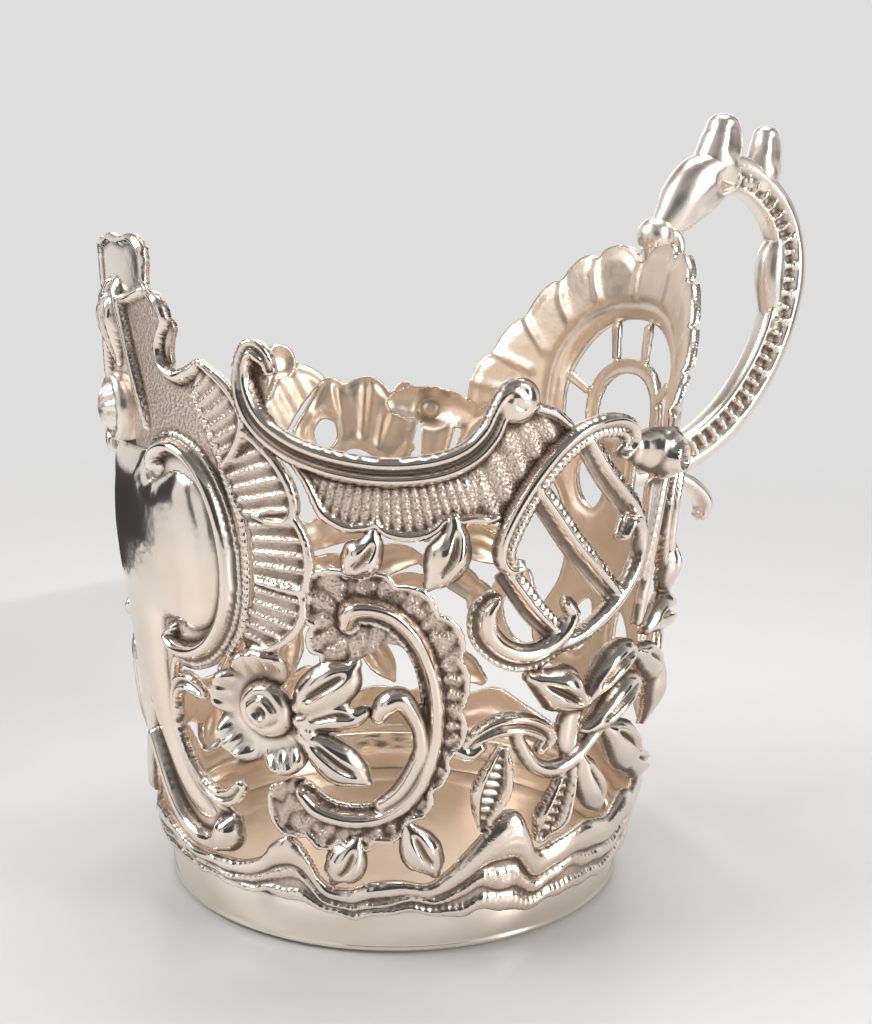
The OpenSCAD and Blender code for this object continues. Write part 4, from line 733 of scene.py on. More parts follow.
def lay_medallion(wall):
    def wrinkles(w, inside):
        far, turn = wall.polar(w, 121, 39.5)[:2]
        uneven = coarse(far.shape, 12)
        pleat = (turn * 17 / math.pi + 0.35 * uneven + 0.06 * far) % 1
        ribs = np.minimum(pleat / 0.76, (1 - pleat) / 0.24) * step(far, 6, 8.5)
        near, about = wall.polar(w, 123, 56.4)[:2]
        left = step(wall.A[w], 121.5, 124) * step(wall.Z[w], 37.4, 39.4)
        ribs = ribs * (1 - left) + left * np.abs(np.sin(about * 5.5 + 0.6 * uneven)) * step(near, 1.8, 3)
        return 0.08 + 0.52 * ribs + 0.03 * uneven

    wall.plate("medallion_plate", MEDALLION_PLATE, wrinkles, 3, 1.0)
    for i, j in zip(MEDALLION_CUSPS[:-1], MEDALLION_CUSPS[1:]):
        rim(wall, "medallion_plate", [[a + 0.3, p] for a, p in MEDALLION_PLATE[i:j + 1]], 0.75, 1.0)
    left = [[a - 0.5, p] for a, p in MEDALLION_PLATE[-13:] + MEDALLION_PLATE[:1]]
    for i in (0, 4, 8):
        rim(wall, "medallion_plate", left[i:i + 5], 0.9, 0.9)
    wall.bar("medallion_scroll", MEDALLION_SCROLL, 3.5, 2.0, c_ridge_back)
    wall.bar("medallion_scroll", MEDALLION_CURL, 3.4, 2.0, rounded)


def lay_flower(wall):
    w = wall.window([[133, 31], [148, 51]], 5)
    far, turn, x, y = wall.polar(w, 140.4, 41.2)
    gaps = sum(bell(((turn / DEGREE - d + 180) % 360 - 180) * DEGREE * far, 0, 0.5) for d in PETAL_GAPS)
    for direction, reach, half in PETALS:
        c, s = math.cos(direction * DEGREE), math.sin(direction * DEGREE)
        along, across = x * c + y * s, -x * s + y * c
        mid = reach - 3.0
        e = np.hypot((along - mid) / 3.0, across / half)
        folds = 0.2 * np.cos(across * FULL_TURN / 1.9) * step(along, mid - 0.9, mid + 1.2)
        cup = 0.15 + 1.45 * step(along, mid - 0.9, mid + 2.0) * (1 - 0.25 * (across / half) ** 2)
        cup = cup + 0.4 * bell(e, 0.78, 0.13) * step(along, mid - 1.6, mid + 0.4)
        height = (cup + folds) * bump(np.minimum(e, 1) ** 2.6) ** 0.8 * (1 - 0.75 * gaps * step(far, 3, 4.2))
        wall.lay(w, "flower", (e - 1) * half * 0.85, np.maximum(height, 0.1))
    for rows in SPRAY:
        wall.bar("flower", rows, 5.6, 1.9, leaf)
    square = (np.abs(x * 0.8 + y * 0.6) ** 3.4 + np.abs(y * 0.8 - x * 0.6) ** 3.4) ** (1 / 3.4)
    petal = 0.2 * np.sin(3 * turn + far * 1.3)
    heart = 0.9 + 1.0 * bump((far - 2.65 - petal) / 0.95)
    heart = np.maximum(heart, 1.4 + 1.15 * bump((square - 1.2) / 0.7))
    heart = np.where(square < 0.62, 1.45 + 0.9 * square, heart)
    wall.lay(w, "flower_eyes", far - 3.7, heart * bump(np.minimum(far / 3.75, 1) ** 3), over=True)


def lay_lattice(wall):
    for rows in LATTICE_BAR:
        beside = [[a + 1.1, p - 1.3, b * 0.7, 0.4] for a, p, b, c in rows]
        wall.bar("lattice", beside, 2.1, 0.7, wire)
        wall.bar("lattice", rows, 2.5, 1.6, hatched)
    wall.bar("lattice", LATTICE_TAIL, 2.8, 1.8, c_ridge_back)
    wall.bar("lattice", LATTICE_BAND, 3.0, 1.9, roped)
    wall.bar("lattice", LATTICE_SCROLL, 3.0, 2.0, c_ridge_back)


def lay_shell(wall):
    def fluted(w, inside):
        far, turn = wall.polar(w, 77, 62)[:2]
        ribs = np.abs(np.sin(turn * 9)) * step(far, 8, 10)
        return 0.15 + 0.5 * ribs + 0.6 * bump((inside + 0.7) / 0.7)

    wall.plate("shell", SHELL_PANEL, fluted, 3, 0.6, SHELL_WINDOW)
    for a, b in SHELL_RIB:
        wall.bar("shell", [a + [0.6, 0.8], b + [0.9, 1]], 2.1, 1.3, rounded)


def lay_volute(wall):
    wall.bar("volute", VOLUTE_RIB, 3.0, 1.3, rounded)
    wall.bar("volute", VOLUTE_SCROLL, 3.4, 2.3, twin)
    wall.bar("volute", VOLUTE_STRAP, 4.8, 1.4, strap)
    wall.bar("volute", VOLUTE_HORN, 4.7, 1.6, rounded)
    w = wall.window([[55, 79.4], [58, 79.4]], 6.0)
    far = wall.polar(w, 56.6, 79.6)[0]
    wall.lay(w, "volute", far - 3.5, 0.8 + 3.1 * bump(np.minimum(far / 3.55, 1)) ** 0.8)
    far, turn = wall.polar(w, 57.6, 79)[:2]
    ring = 3.9 + 0.5 * bump((far - 1.6) / 0.45)
    petals = 3.0 + 0.3 * np.cos(turn * 8) + 0.9 * bump(np.minimum(far / 0.7, 1))
    wall.lay(w, "volute", far - 2.0, np.where(far < 1.2, petals, ring), over=True)


def lay_vine(wall):
    wall.bar("vine", VINE_STEM[0], 2.3, 1.8, rounded)
    wall.bar("vine", VINE_STEM[2], 2.3, 1.7, rounded)
    wall.bar("vine", VINE_LOBE, 4.6, 1.3, rounded)
    for rows in VINE_POD:
        wall.bar("vine", rows, 4.8, 1.7, serrated)
    for rows in VINE_LEAF:
        wall.bar("vine", rows, 4.8, 2.5, leaf)
    wall.bar("vine", SIDE_BUD, 5.4, 2.3, leaf)
    wall.bar("vine", SIDE_LEAF, 4.8, 2.2, leaf)
    wall.bar("vine", VINE_STEM[1], 2.6, 1.9, twin)


def lay_back(wall):
    def plate(w, inside):
        return 0.1 + 0.5 * bump((inside + 0.7) / 0.7)

    outer, inner = both_ways(ARCH_OUTER), both_ways(ARCH_INNER)
    w = wall.window(outer + inner, 2.0)
    inside = np.maximum(wall.outline(w, smooth(outer, 3)), -wall.outline(w, smooth(inner, 3)))
    lip = np.exp(np.minimum(inside, 0) / 1.6) * step(wall.Z[w], 66, 76)
    arch = 0.1 + 0.35 * bump((inside + 0.8) / 0.8) + 0.25 * step(-inside, 0.5, 3) + 1.5 * lip
    wall.lay(w, "back_arch", inside, arch, 0.4)
    for rows in ARCH_GROOVES:
        wall.groove("back_arch", rows, 1.1, 0.75)
    wall.bar("back_arch", ARCH_MOULDING, 2.6, 1.2, twin)
    wall.bar("arch_ring", both_ways(ARCH_RING), 2.3, 1.3, rounded)
    for rows in SPOKE:
        wall.bar("arch_spokes", rows, 1.9, 0.9, rounded)
    outline = both_ways(HANDLE_PLATE_UPPER) + both_ways(HANDLE_PLATE_LOWER)[::-1]
    wall.plate("handle_plate", outline, plate, 3, 0.5, PLATE_WINDOW)
    wall.bar("handle_plate", PLATE_SCROLL, 3.1, 1.8, twin)


def common_relief():
    """The relief that both halves of the wall share."""
    wall = Wall()
    for lay in (lay_cartouche, lay_cartouche_fan, lay_crest, lay_rim, lay_medallion, lay_flower):
        lay(wall)
    for rows in BUD_ROWS:
        wall.bar("buds", rows, 4.8, 1.6, leaf)
    for lay in (lay_back, lay_vine, lay_volute):
        lay(wall)
    return wall


def blurred(grid, weight, radius):
    """A grid softened over a few cells, leaving out what has no weight."""
    n = int(3 * radius)
    kernel = np.exp(-0.5 * (np.arange(-n, n + 1) / radius) ** 2)

    def soften(g):
        rows, cols = g.shape
        pad = np.pad(g, ((n, n), (0, 0)))
        g = sum(k * pad[i:i + rows] for i, k in enumerate(kernel))
        pad = np.concatenate([g[:, -n:], g, g[:, :n]], axis=1)
        return sum(k * pad[:, i:i + cols] for i, k in enumerate(kernel))

    return soften(grid * weight) / np.maximum(soften(weight), 1e-6)


def round_the_cup(near, far):
    """The two halves joined into the whole ring of azimuths."""
    grids = {}
    for key in LAYERS:
        a, b = getattr(near, key), getattr(far, key)
        if key == "owner":
            b = np.where(b > 0, b + FAR_SIDE, b)
            for name in WHOLE:
                b = np.where(b == OWN[name] + FAR_SIDE, OWN[name], b)
        grids[key] = np.concatenate([a, b[:, -2:0:-1]], axis=1)
    return grids, *np.meshgrid(np.arange(COLUMNS) * 360.0 / COLUMNS, near.z)


# The ring is cut into sheet pieces
CORNERS = ((0, 0), (1, 0), (0, 1), (1, 1))


def ahead(grid, rows, columns):
    return np.roll(np.roll(grid, -rows, 0), -columns, 1)


def grown(grids):
    """Height, stipple and owner, carried three cells past each feature's outline."""
    owner = grids["owner"]
    layers = [np.where(owner > 0, grids["high"], 0.0), grids["stipple"], owner]
    for _ in range(3):
        for shift, axis in ((1, 0), (-1, 0), (1, 1), (-1, 1)):
            take = (layers[2] == 0) & (np.roll(layers[2], shift, axis) > 0)
            layers = [np.where(take, np.roll(g, shift, axis), g) for g in layers]
    return layers


def inner_height(high, owner, z, radius, weight):
    """The inner face: it follows the relief softly, and clears the foot band."""
    within = -SHEET + INNER_SHARE * blurred(high, weight, 0.4 / PITCH)
    within = np.minimum(within, high - LEAST_UNDER_RELIEF)
    by_band = (owner == OWN["wave_border"]) & (z < BAND_TOP)
    within = np.where(by_band, np.maximum(FOOT_RADIUS + BAND_CLEARANCE - radius, -SHEET), within)
    return np.minimum(within, high - LEAST_BY_BAND)


def onto_outline(edge, cell, a, z, radius):
    """Azimuths and heights with the points on the border drawn onto the outline."""
    dz = z[1, 0] - z[0, 0]
    da = (a[0, 1] - a[0, 0]) * DEGREE
    g_z = (np.roll(edge, -1, 0) - np.roll(edge, 1, 0)) / (2 * dz)
    g_a = (np.roll(edge, -1, 1) - np.roll(edge, 1, 1)) / (2 * da * radius)
    touches = sum(ahead(cell.astype(int), -i, -j) for i, j in CORNERS)
    border = (touches > 0) & (touches < 4) & (np.abs(edge) < 1.2 * PITCH)
    size = np.maximum(np.hypot(g_z, g_a), 0.3)
    move = np.where(border, -edge / size, 0)
    return a + move * g_a / size / (radius * DEGREE), z + move * g_z / size


def shared_out(high, owner, cell):
    """The piece each cell belongs to: its highest corner's, with no two cells joined by a corner alone."""
    corner_high, corner_owner = [np.stack([ahead(g, i, j) for i, j in CORNERS]) for g in (high, owner)]
    pick = corner_high.argmax(0)
    belongs = np.where(cell, np.take_along_axis(corner_owner, pick[None], 0)[0], 0)
    for flip in (1, -1, 1, -1):
        up, right = np.roll(belongs, -1, 0), np.roll(belongs, -flip, 1)
        across = np.roll(up, -flip, 1)
        pinch = (belongs > 0) & (belongs == across) & (belongs != right) & (belongs != up)
        belongs = np.where(np.roll(pinch & (right > 0), flip, 1), np.roll(belongs, flip, 1), belongs)
        belongs = np.where(pinch & (right == 0) & (up == 0), 0, belongs)
        fill = np.roll(pinch & (right == 0) & (up > 0), 1, 0)
        belongs = np.where(fill, np.roll(belongs, 1, 0), belongs)
    belongs[-1] = 0
    return belongs


def shell_faces(mask, index):
    """Four-sided faces of a closed shell over the cells of a mask: outer face, inner face, then sides."""
    i, j = np.nonzero(mask)
    j1 = (j + 1) % mask.shape[1]
    p00, p10, p11, p01 = index[i, j], index[i + 1, j], index[i + 1, j1], index[i, j1]
    count = index.size
    quads = [np.stack([p00, p10, p11, p01], 1), np.stack([p01, p11, p10, p00], 1) + count]
    sides = (
        (np.roll(mask, 1, 1), p00, p10), (np.roll(mask, -1, 0), p10, p11),
        (np.roll(mask, -1, 1), p11, p01), (np.roll(mask, 1, 0), p01, p00),
    )
    for neighbour, u, v in sides:
        open_side = ~neighbour[i, j]
        u, v = u[open_side], v[open_side]
        quads.append(np.stack([v, u, u + count, v + count], 1))
    inner_face = np.repeat([k == 1 for k in range(len(quads))], [len(q) for q in quads])
    return np.concatenate(quads), inner_face.astype(int)


def sheet_pieces(grids, a, z):
    """Cuts the chased ring into its pieces, each a closed shell with an outer and an inner face."""
    radius = wall_radius(z)
    here = grids["edge"] < 0.42 * PITCH
    high, stipple, owner = grown(grids)
    weight = here.astype(float)
    high = np.where(here, blurred(high, weight, 0.55), high)
    wide, close = blurred(high, weight, 0.9 / PITCH), blurred(high, weight, 0.45 / PITCH)
    within = inner_height(high, owner, z, radius, weight)
    wide_in = blurred(within, weight, 1.0 / PITCH)
    # The recess values become patina and painted shade in the creases of both faces; the ridge values only
    # make the high places less rough
    shades = {
        "recess": ((wide - high) * 1.3 + (close - high) * 2.0, (within - wide_in) * 1.6),
        "ridge": ((high - wide) * 1.2, (wide_in - within) * 1.6),
        "stipple": (stipple, 0 * stipple),
    }
    cell = here & ahead(here, 1, 0) & ahead(here, 0, 1) & ahead(here, 1, 1)
    cell[-1] = False
    a2, z2 = onto_outline(grids["edge"], cell, a, z, radius)

    def place(lift):
        r = wall_radius(z2) + lift
        return np.stack([r * np.cos(a2 * DEGREE), -r * np.sin(a2 * DEGREE), z2], axis=-1).reshape(-1, 3) * MM

    points = np.concatenate([place(high), place(within)])
    shades = {key: np.concatenate([np.clip(g, 0, 1).ravel() for g in pair]) for key, pair in shades.items()}
    belongs = shared_out(high, owner, cell)
    index = np.arange(a.size).reshape(a.shape)
    for own in np.unique(belongs[belongs > 0]):
        faces, inner_face = shell_faces(belongs == own, index)
        used, where = np.unique(faces, return_inverse=True)
        shade = {key: values[used] for key, values in shades.items()}
        yield shell(piece_name(own), points[used], where.reshape(faces.shape), shade, inner_face)


def piece_name(own):
    side = "far_" if own > FAR_SIDE else "near_"
    name = NAMES[own % FAR_SIDE - 1]
    return name if name in WHOLE else side + name


def linked(name, data):
    made = bpy.data.objects.new(name, data)
    bpy.context.scene.collection.objects.link(made)
    return made


def shade_points(mesh, key, values):
    mesh.attributes.new(key, "FLOAT", "POINT").data.foreach_set("value", values.astype(np.float32))


def shell(name, points, faces, shade, material_index):
    """A mesh from points and four-sided faces, with its shading values on the points."""
    mesh = bpy.data.meshes.new(name)
    mesh.vertices.add(len(points))
    mesh.vertices.foreach_set("co", points.astype(np.float32).ravel())
    mesh.loops.add(faces.size)
    mesh.loops.foreach_set("vertex_index", faces.astype(np.int32).ravel())
    mesh.polygons.add(len(faces))
    for key, values in (
        ("loop_start", np.arange(0, faces.size, 4)), ("loop_total", np.full(len(faces), 4)),
        ("material_index", material_index),
    ):
        mesh.polygons.foreach_set(key, values.astype(np.int32))
    mesh.polygons.foreach_set("use_smooth", np.ones(len(faces), bool))
    mesh.update(calc_edges=True)
    for key, values in shade.items():
        shade_points(mesh, key, values)
    mesh.validate()
    return linked(name, mesh)


# The turned and cast pieces
def pick_only(piece):
    bpy.ops.object.select_all(action="DESELECT")
    piece.select_set(True)
    bpy.context.view_layer.objects.active = piece


def turn_outward():
    bpy.ops.mesh.select_all(action="SELECT")
    bpy.ops.mesh.normals_make_consistent(inside=False)


def finish_piece(piece, name):
    """Applies the place and modifiers, closes the seam and turns the faces outward."""
    piece.name = piece.data.name = name
    pick_only(piece)
    bpy.ops.object.transform_apply(location=True, rotation=True, scale=True)
    for modifier in list(piece.modifiers):
        bpy.ops.object.modifier_apply(modifier=modifier.name)
    bpy.ops.object.mode_set(mode="EDIT")
    bpy.ops.mesh.select_all(action="SELECT")
    bpy.ops.mesh.remove_doubles(threshold=0.00001)
    bpy.ops.mesh.delete_loose(use_verts=True, use_edges=True, use_faces=False)
    turn_outward()
    bpy.ops.object.mode_set(mode="OBJECT")
    bpy.ops.object.shade_smooth()
    return piece


def turned(name, profile, steps=256):
    """A profile of radius and height spun round the cup axis."""
    bpy.ops.object.select_all(action="DESELECT")
    bpy.ops.mesh.primitive_circle_add(vertices=len(profile), radius=0.01, fill_type="NOTHING")
    piece = bpy.context.object
    for vertex, (r, z) in zip(piece.data.vertices, profile):
        vertex.co = (r * MM, 0, z * MM)
    bpy.ops.object.mode_set(mode="EDIT")
    bpy.ops.mesh.select_all(action="SELECT")
    bpy.ops.mesh.spin(steps=steps, angle=FULL_TURN, center=(0, 0, 0), axis=(0, 0, 1))
    bpy.ops.object.mode_set(mode="OBJECT")
    finish_piece(piece, name)
    pick_only(piece)
    bpy.ops.object.shade_smooth_by_angle(angle=50 * DEGREE)
    return piece


def foot_band():
    seat, ledge = 31.7, 32.22
    return turned("foot_band", [
        (ledge, 0.5), (32.3, 0.5), (32.6, 0.52), (32.86, 0.66), (32.98, 0.9), (32.9, 1.15), (32.84, 1.4),
        (32.9, 1.6), (33.0, 1.8), (33.0, 7.45), (32.86, 7.6), (31.85, 7.6), (seat, 7.45), (seat, 1.26),
        (ledge, 1.26),
    ])


def bottom_plate():
    return turned("bottom_plate", [
        (0.0, 0.0), (28, 0.0), (31.9, 0.0), (32.16, 0.2), (32.16, 1.05), (32.0, 1.2), (26.2, 1.2),
        (25.9, 1.14), (25.2, 1.14), (24.9, 1.2), (0.0, 1.2),
    ])


def crest_boss():
    """A fluted, domed shell with a rolled edge over the shield."""
    z = rise_of(85.8)
    lean = math.atan((WALL_SPREAD - 2 * WALL_ROUND * z / WALL_HEIGHT) / WALL_HEIGHT)
    piece = turned("crest_boss", [
        (0, -1.4), (4.5, -1.4), (4.6, 0.5), (4.55, 1.2), (4.3, 1.75), (3.85, 1.95), (3.45, 1.8), (3.2, 1.62),
        (2.9, 1.9), (2.3, 2.6), (1.5, 3.05), (0.7, 3.28), (0, 3.3),
    ], 120)
    for vertex in piece.data.vertices:
        x, y, h = vertex.co / MM
        far = math.hypot(x, y)
        if h > 1.2 and far > 0.5:
            share = math.exp(-((far - 2.6) / 1.1) ** 2)
            vertex.co.z += 0.2 * share * math.cos(11 * math.atan2(y, x)) * MM
    turn = Matrix.Rotation(math.pi, 4, "Z")
    tilt = Matrix.Rotation(math.pi / 2 + lean, 4, "Y")
    piece.data.transform(turn @ Matrix.Translation((wall_radius(z) * MM, 0, z * MM)) @ tilt)
    return piece


HANDLE_REACH, HANDLE_RISE, BOW_WIDE, BOW_DEEP, KNOB_R = 73.0, 14.5, 5.6, 4.8, 2.9
CREST_Z = rise_of(110.4)
CREST_R = wall_radius(CREST_Z)
KNOB_X, KNOB_Z = CREST_R + 0.9 * KNOB_R, CREST_Z + 1.45 * KNOB_R
CAST_GRAIN = 0.2


def reach(percent):
    return CREST_R + percent * (HANDLE_REACH - CREST_R) / 100


def height(percent):
    return (min(percent, 100) * CREST_Z + max(percent - 100, 0) * HANDLE_RISE) / 100


def in_plane(rows):
    return [[reach(x), height(z), wide, deep] for x, z, wide, deep in rows]


def between(t, low, full, fall, end):
    return float(step(np.array(t), low, full) * (1 - step(np.array(t), fall, end)))


def direction_at(path, i):
    t = np.array(path[min(i + 1, len(path) - 1)][:2]) - path[max(i - 1, 0)][:2]
    return t / np.linalg.norm(t)


def swept(path, section, sides):
    """Rings along a line in the handle's plane: path rows of reach, height, breadth and depth shares."""
    rings = []
    for i, (x, z, wide, deep) in enumerate(path):
        t = direction_at(path, i)
        ring = []
        for k in range(sides):
            u, v = section(k * FULL_TURN / sides, i / (len(path) - 1))
            u, v = u * BOW_DEEP * deep, v * BOW_WIDE * wide
            ring.append((x - u * t[1], v, z + u * t[0]))
        rings.append(ring)
    return rings


def ball(x, y, z, rx, ry, rz, turn=0.0, sides=16):
    """A small oval bead as closed rings, turned in the handle's plane."""
    c, s = math.cos(turn), math.sin(turn)
    rings = []
    for i in range(1, 10):
        angle = math.pi * i / 10
        ring = []
        for k in range(sides):
            b = FULL_TURN * k / sides
            u, v = rx * math.cos(angle), rz * math.sin(angle) * math.sin(b)
            ring.append((x + u * c - v * s, y + ry * math.sin(angle) * math.cos(b), z + u * s + v * c))
        rings.append(ring)
    return rings


def cast_mesh(name, all_rings, softness=3):
    """Closed tubes joined into one cast piece by remeshing, then softened."""
    points, faces = [], []
    for rings in all_rings:
        start, n = len(points), len(rings[0])
        points += [[c * MM for c in p] for ring in rings for p in ring]
        last = start + (len(rings) - 1) * n
        for low in range(start, last, n):
            for j in range(n):
                k = (j + 1) % n
                faces.append([low + j, low + n + j, low + n + k, low + k])
        faces.append([start + j for j in range(n)])
        faces.append([last + j for j in range(n - 1, -1, -1)])
    mesh = bpy.data.meshes.new(name)
    mesh.from_pydata(points, [], faces)
    piece = linked(name, mesh)
    pick_only(piece)
    bpy.ops.object.mode_set(mode="EDIT")
    turn_outward()
    bpy.ops.object.mode_set(mode="OBJECT")
    remesh = piece.modifiers.new("remesh", "REMESH")
    remesh.mode, remesh.voxel_size = "VOXEL", CAST_GRAIN * MM
    soften = piece.modifiers.new("soften", "SMOOTH")
    soften.factor, soften.iterations = 0.5, softness
    return finish_piece(piece, name)


def round_section(turn, t):
    return 0.5 * math.cos(turn), 0.5 * math.sin(turn)


def bow_section(turn, t):
    """Leaf at the start, then a bar that is deeper inward, with a sunk strip down each flank."""
    u, v = math.cos(turn), math.sin(turn)
    power = 2.2 + 1.0 * between(t, 0.16, 0.26, 1.2, 1.3)
    grow = (abs(u) ** power + abs(v) ** power) ** (-1 / power)
    u, v = 0.5 * u * grow, 0.5 * v * grow
    fold = 0.06 * math.exp(-((u + 0.2) / 0.12) ** 2) * between(t, 0.03, 0.1, 0.17, 0.24)
    strip = 0.27 * math.exp(-((u + 0.12) / 0.2) ** 4) * between(t, 0.17, 0.23, 0.97, 1.0)
    narrow = 0.14 * max(0, -u - 0.1) * between(t, 0.2, 0.3, 1.2, 1.3)
    taken = fold + strip + narrow
    return 0.5 - (0.5 - u) * 1.26, v - math.copysign(min(taken, abs(v)), v)


def lobe_section(turn, t):
    """A rounded lobe with a hollow on each flank."""
    u, v = round_section(turn, t)
    dent = 0.1 * math.exp(-((u + 0.12) / 0.24) ** 2) * between(t, 0.3, 0.5, 0.85, 1.0)
    return u, v - math.copysign(min(dent, abs(v)), v)


def bow_beads(path):
    """Beads in the sunk strip down each flank, and smaller ones beside every other of them."""
    index = np.arange(len(path))
    run = np.concatenate([[0], np.cumsum(np.hypot(*np.diff(path[:, :2], axis=0).T))])
    for n, s in enumerate(np.arange(17, run[-1] - 5, 2.3)):
        k = np.interp(s, run, index)
        x, h, wide, deep = [np.interp(k, index, column) for column in path.T]
        t = direction_at(path, int(k))
        turn = math.atan2(t[1], t[0])
        grown_by = min(1, 0.45 + max(0, s - 26) / 20)
        mid, out = -0.28 * BOW_DEEP * deep, -0.04 * BOW_DEEP * deep
        for side in (-BOW_WIDE, BOW_WIDE):
            y = side * (0.27 + 0.05 * grown_by) * wide
            yield ball(x - mid * t[1], y, h + mid * t[0], 0.55, 0.85, 1.15, turn)
            if n % 2 and grown_by > 0.8:
                yield ball(x - out * t[1], side * 0.36 * wide, h + out * t[0], 0.75, 0.75, 0.75, turn)


def handle_bow():
    z = height(63.4)
    foot = [wall_radius(z + BOW_DEEP * 0.65) + 0.1, z, 1.2, 1.25]
    start = [[KNOB_X + 1.0, KNOB_Z + 1.2, 0.6, 0.7], [KNOB_X + 2.8, KNOB_Z + 3.4, 0.95, 1.1]]
    path = smooth(start + in_plane(BOW) + [foot], 8)
    swell = swept(smooth(BOW_SWELL, 6), round_section, 20)
    return cast_mesh("handle_bow", [swept(path, bow_section, 48), *bow_beads(path), swell])


def thumb_rest():
    """Two hollowed lobes that stand on the top of the bow."""
    tubes = []
    for rows in LOBES:
        tubes.append(swept(smooth(rows, 8), lobe_section, 32))
        x, z, wide, deep = rows[-1]
        tubes.append(ball(x, 0, z, 0.49 * BOW_DEEP * deep, 0.49 * BOW_WIDE * wide, 1.8))
    tubes.append(swept(smooth(SADDLE, 8), round_section, 24))
    return cast_mesh("thumb_rest", tubes, 6)


def handle_knob():
    """A ball with a curl under it, and the stem that runs down onto the crest."""
    x, z = KNOB_X, KNOB_Z
    stem = [[wall_radius(rise_of(p)) + lift * KNOB_R, rise_of(p), b, d] for p, lift, b, d in STEM_ON_CREST]
    curl = [[x + dx, z + dz, wide, deep] for dx, dz, wide, deep in KNOB_CURL]
    return cast_mesh("handle_knob", [
        ball(x, 0, z, KNOB_R, KNOB_R, KNOB_R, 0.4, 28), swept(smooth(stem, 6), round_section, 20),
        swept(smooth(curl, 6), round_section, 24),
    ])


def handle_curl():
    path = smooth(in_plane(CURL), 8)
    x, z, wide, deep = path[-1]
    return cast_mesh("handle_curl", [swept(path, round_section, 24), ball(x, 0, z, 1.1, 1.8, 1.1)])


def hollow_values(mesh):
    """Marks how far each point of a casting lies below the softened shape around it, for patina and painted
    shade in its hollows.
    """
    n = len(mesh.vertices)
    co, normal = np.empty(n * 3), np.empty(n * 3)
    mesh.vertices.foreach_get("co", co)
    mesh.vertices.foreach_get("normal", normal)
    co, normal = co.reshape(-1, 3), normal.reshape(-1, 3)
    edges = np.empty(len(mesh.edges) * 2, int)
    mesh.edges.foreach_get("vertices", edges)
    u, v = edges.reshape(-1, 2).T
    degree = np.maximum(np.bincount(u, minlength=n) + np.bincount(v, minlength=n), 1)
    soft = co.copy()
    for _ in range(40):
        total = [np.bincount(u, soft[v, k], n) + np.bincount(v, soft[u, k], n) for k in range(3)]
        soft = 0.5 * soft + 0.5 * (total / degree).T
    depth = ((soft - co) * normal).sum(1) / MM
    shade_points(mesh, "recess", np.clip(depth * 3.8 - 0.05, 0, 1))


# The finishes
class Nodes:
    """A tree of nodes; each method adds nodes and returns an output."""

    def __init__(self, tree, place):
        self.tree = tree
        self.place = self.node("ShaderNodeTexCoord").outputs[place]

    def feed(self, target, source):
        """Gives an input a value, or links another node's output to it."""
        if isinstance(source, bpy.types.NodeSocket):
            self.tree.links.new(source, target)
        else:
            target.default_value = source

    def node(self, kind, inputs=None, **settings):
        made = self.tree.nodes.new(kind)
        for key, value in settings.items():
            setattr(made, key, value)
        for key, value in (inputs or {}).items():
            self.feed(made.inputs[key], value)
        return made

    def noise(self, scale, detail):
        inputs = {"Vector": self.place, "Scale": scale, "Detail": detail, "Roughness": 0.55}
        return self.node("ShaderNodeTexNoise", inputs).outputs["Fac"]

    def cells(self, scale):
        return self.node("ShaderNodeTexVoronoi", {"Vector": self.place, "Scale": scale}).outputs["Distance"]

    def value_of(self, name):
        return self.node("ShaderNodeAttribute", attribute_name=name).outputs["Fac"]

    def ranged(self, source, low, high, to_low, to_high):
        inputs = {"Value": source, "From Min": low, "From Max": high, "To Min": to_low, "To Max": to_high}
        return self.node("ShaderNodeMapRange", inputs).outputs["Result"]

    def sum_of(self, a, b, how="ADD"):
        return self.node("ShaderNodeMath", {0: a, 1: b}, operation=how).outputs[0]

    def blend(self, share, first, second):
        return self.node("ShaderNodeMix", {0: share, 6: first, 7: second}, data_type="RGBA").outputs[2]

    def blend_shaders(self, share, first, second):
        return self.node("ShaderNodeMixShader", {0: share, 1: first, 2: second}).outputs[0]

    def bump_from(self, source, strength, distance, under=None):
        inputs = {"Strength": strength, "Distance": distance, "Height": source}
        if under is not None:
            inputs["Normal"] = under
        return self.node("ShaderNodeBump", inputs).outputs["Normal"]

    def seen(self):
        """One for what the camera sees directly, mirrored or through glass, and nought for other light."""
        path = self.node("ShaderNodeLightPath").outputs
        either = self.sum_of(path["Is Glossy Ray"], path["Is Transmission Ray"], "MAXIMUM")
        return self.sum_of(path["Is Camera Ray"], either, "MAXIMUM")


class Finish(Nodes):
    """The nodes of a material, on the coordinates of the piece that wears it."""

    def __init__(self, name, metallic=1.0):
        self.material = bpy.data.materials.new(name)
        self.material.use_nodes = True
        super().__init__(self.material.node_tree, "Object")
        self.shader = self.tree.nodes["Principled BSDF"]
        self.wear({"Metallic": metallic})

    def wear(self, inputs):
        for key, value in inputs.items():
            self.feed(self.shader.inputs[key], value)
        return self.material

    def worn_silver(self, scale):
        """Silver with faint warm clouds."""
        return self.blend(self.ranged(self.noise(scale, 4), 0.35, 0.7, 0, 0.8), SILVER, WARM)


SILVER = (0.96, 0.885, 0.815, 1)
WARM = (0.91, 0.81, 0.72, 1)
CHASED = (0.955, 0.865, 0.78, 1)
CHASED_WARM = (0.905, 0.785, 0.69, 1)
INSIDE = (0.91, 0.785, 0.665, 1)
INSIDE_WARM = (0.85, 0.715, 0.59, 1)
INSIDE_DARK = (0.35, 0.27, 0.2, 1)
MATT = (0.73, 0.60, 0.525, 1)
DARK = (0.15, 0.11, 0.085, 1)
BACKGROUND = (0.74, 0.735, 0.735, 1)


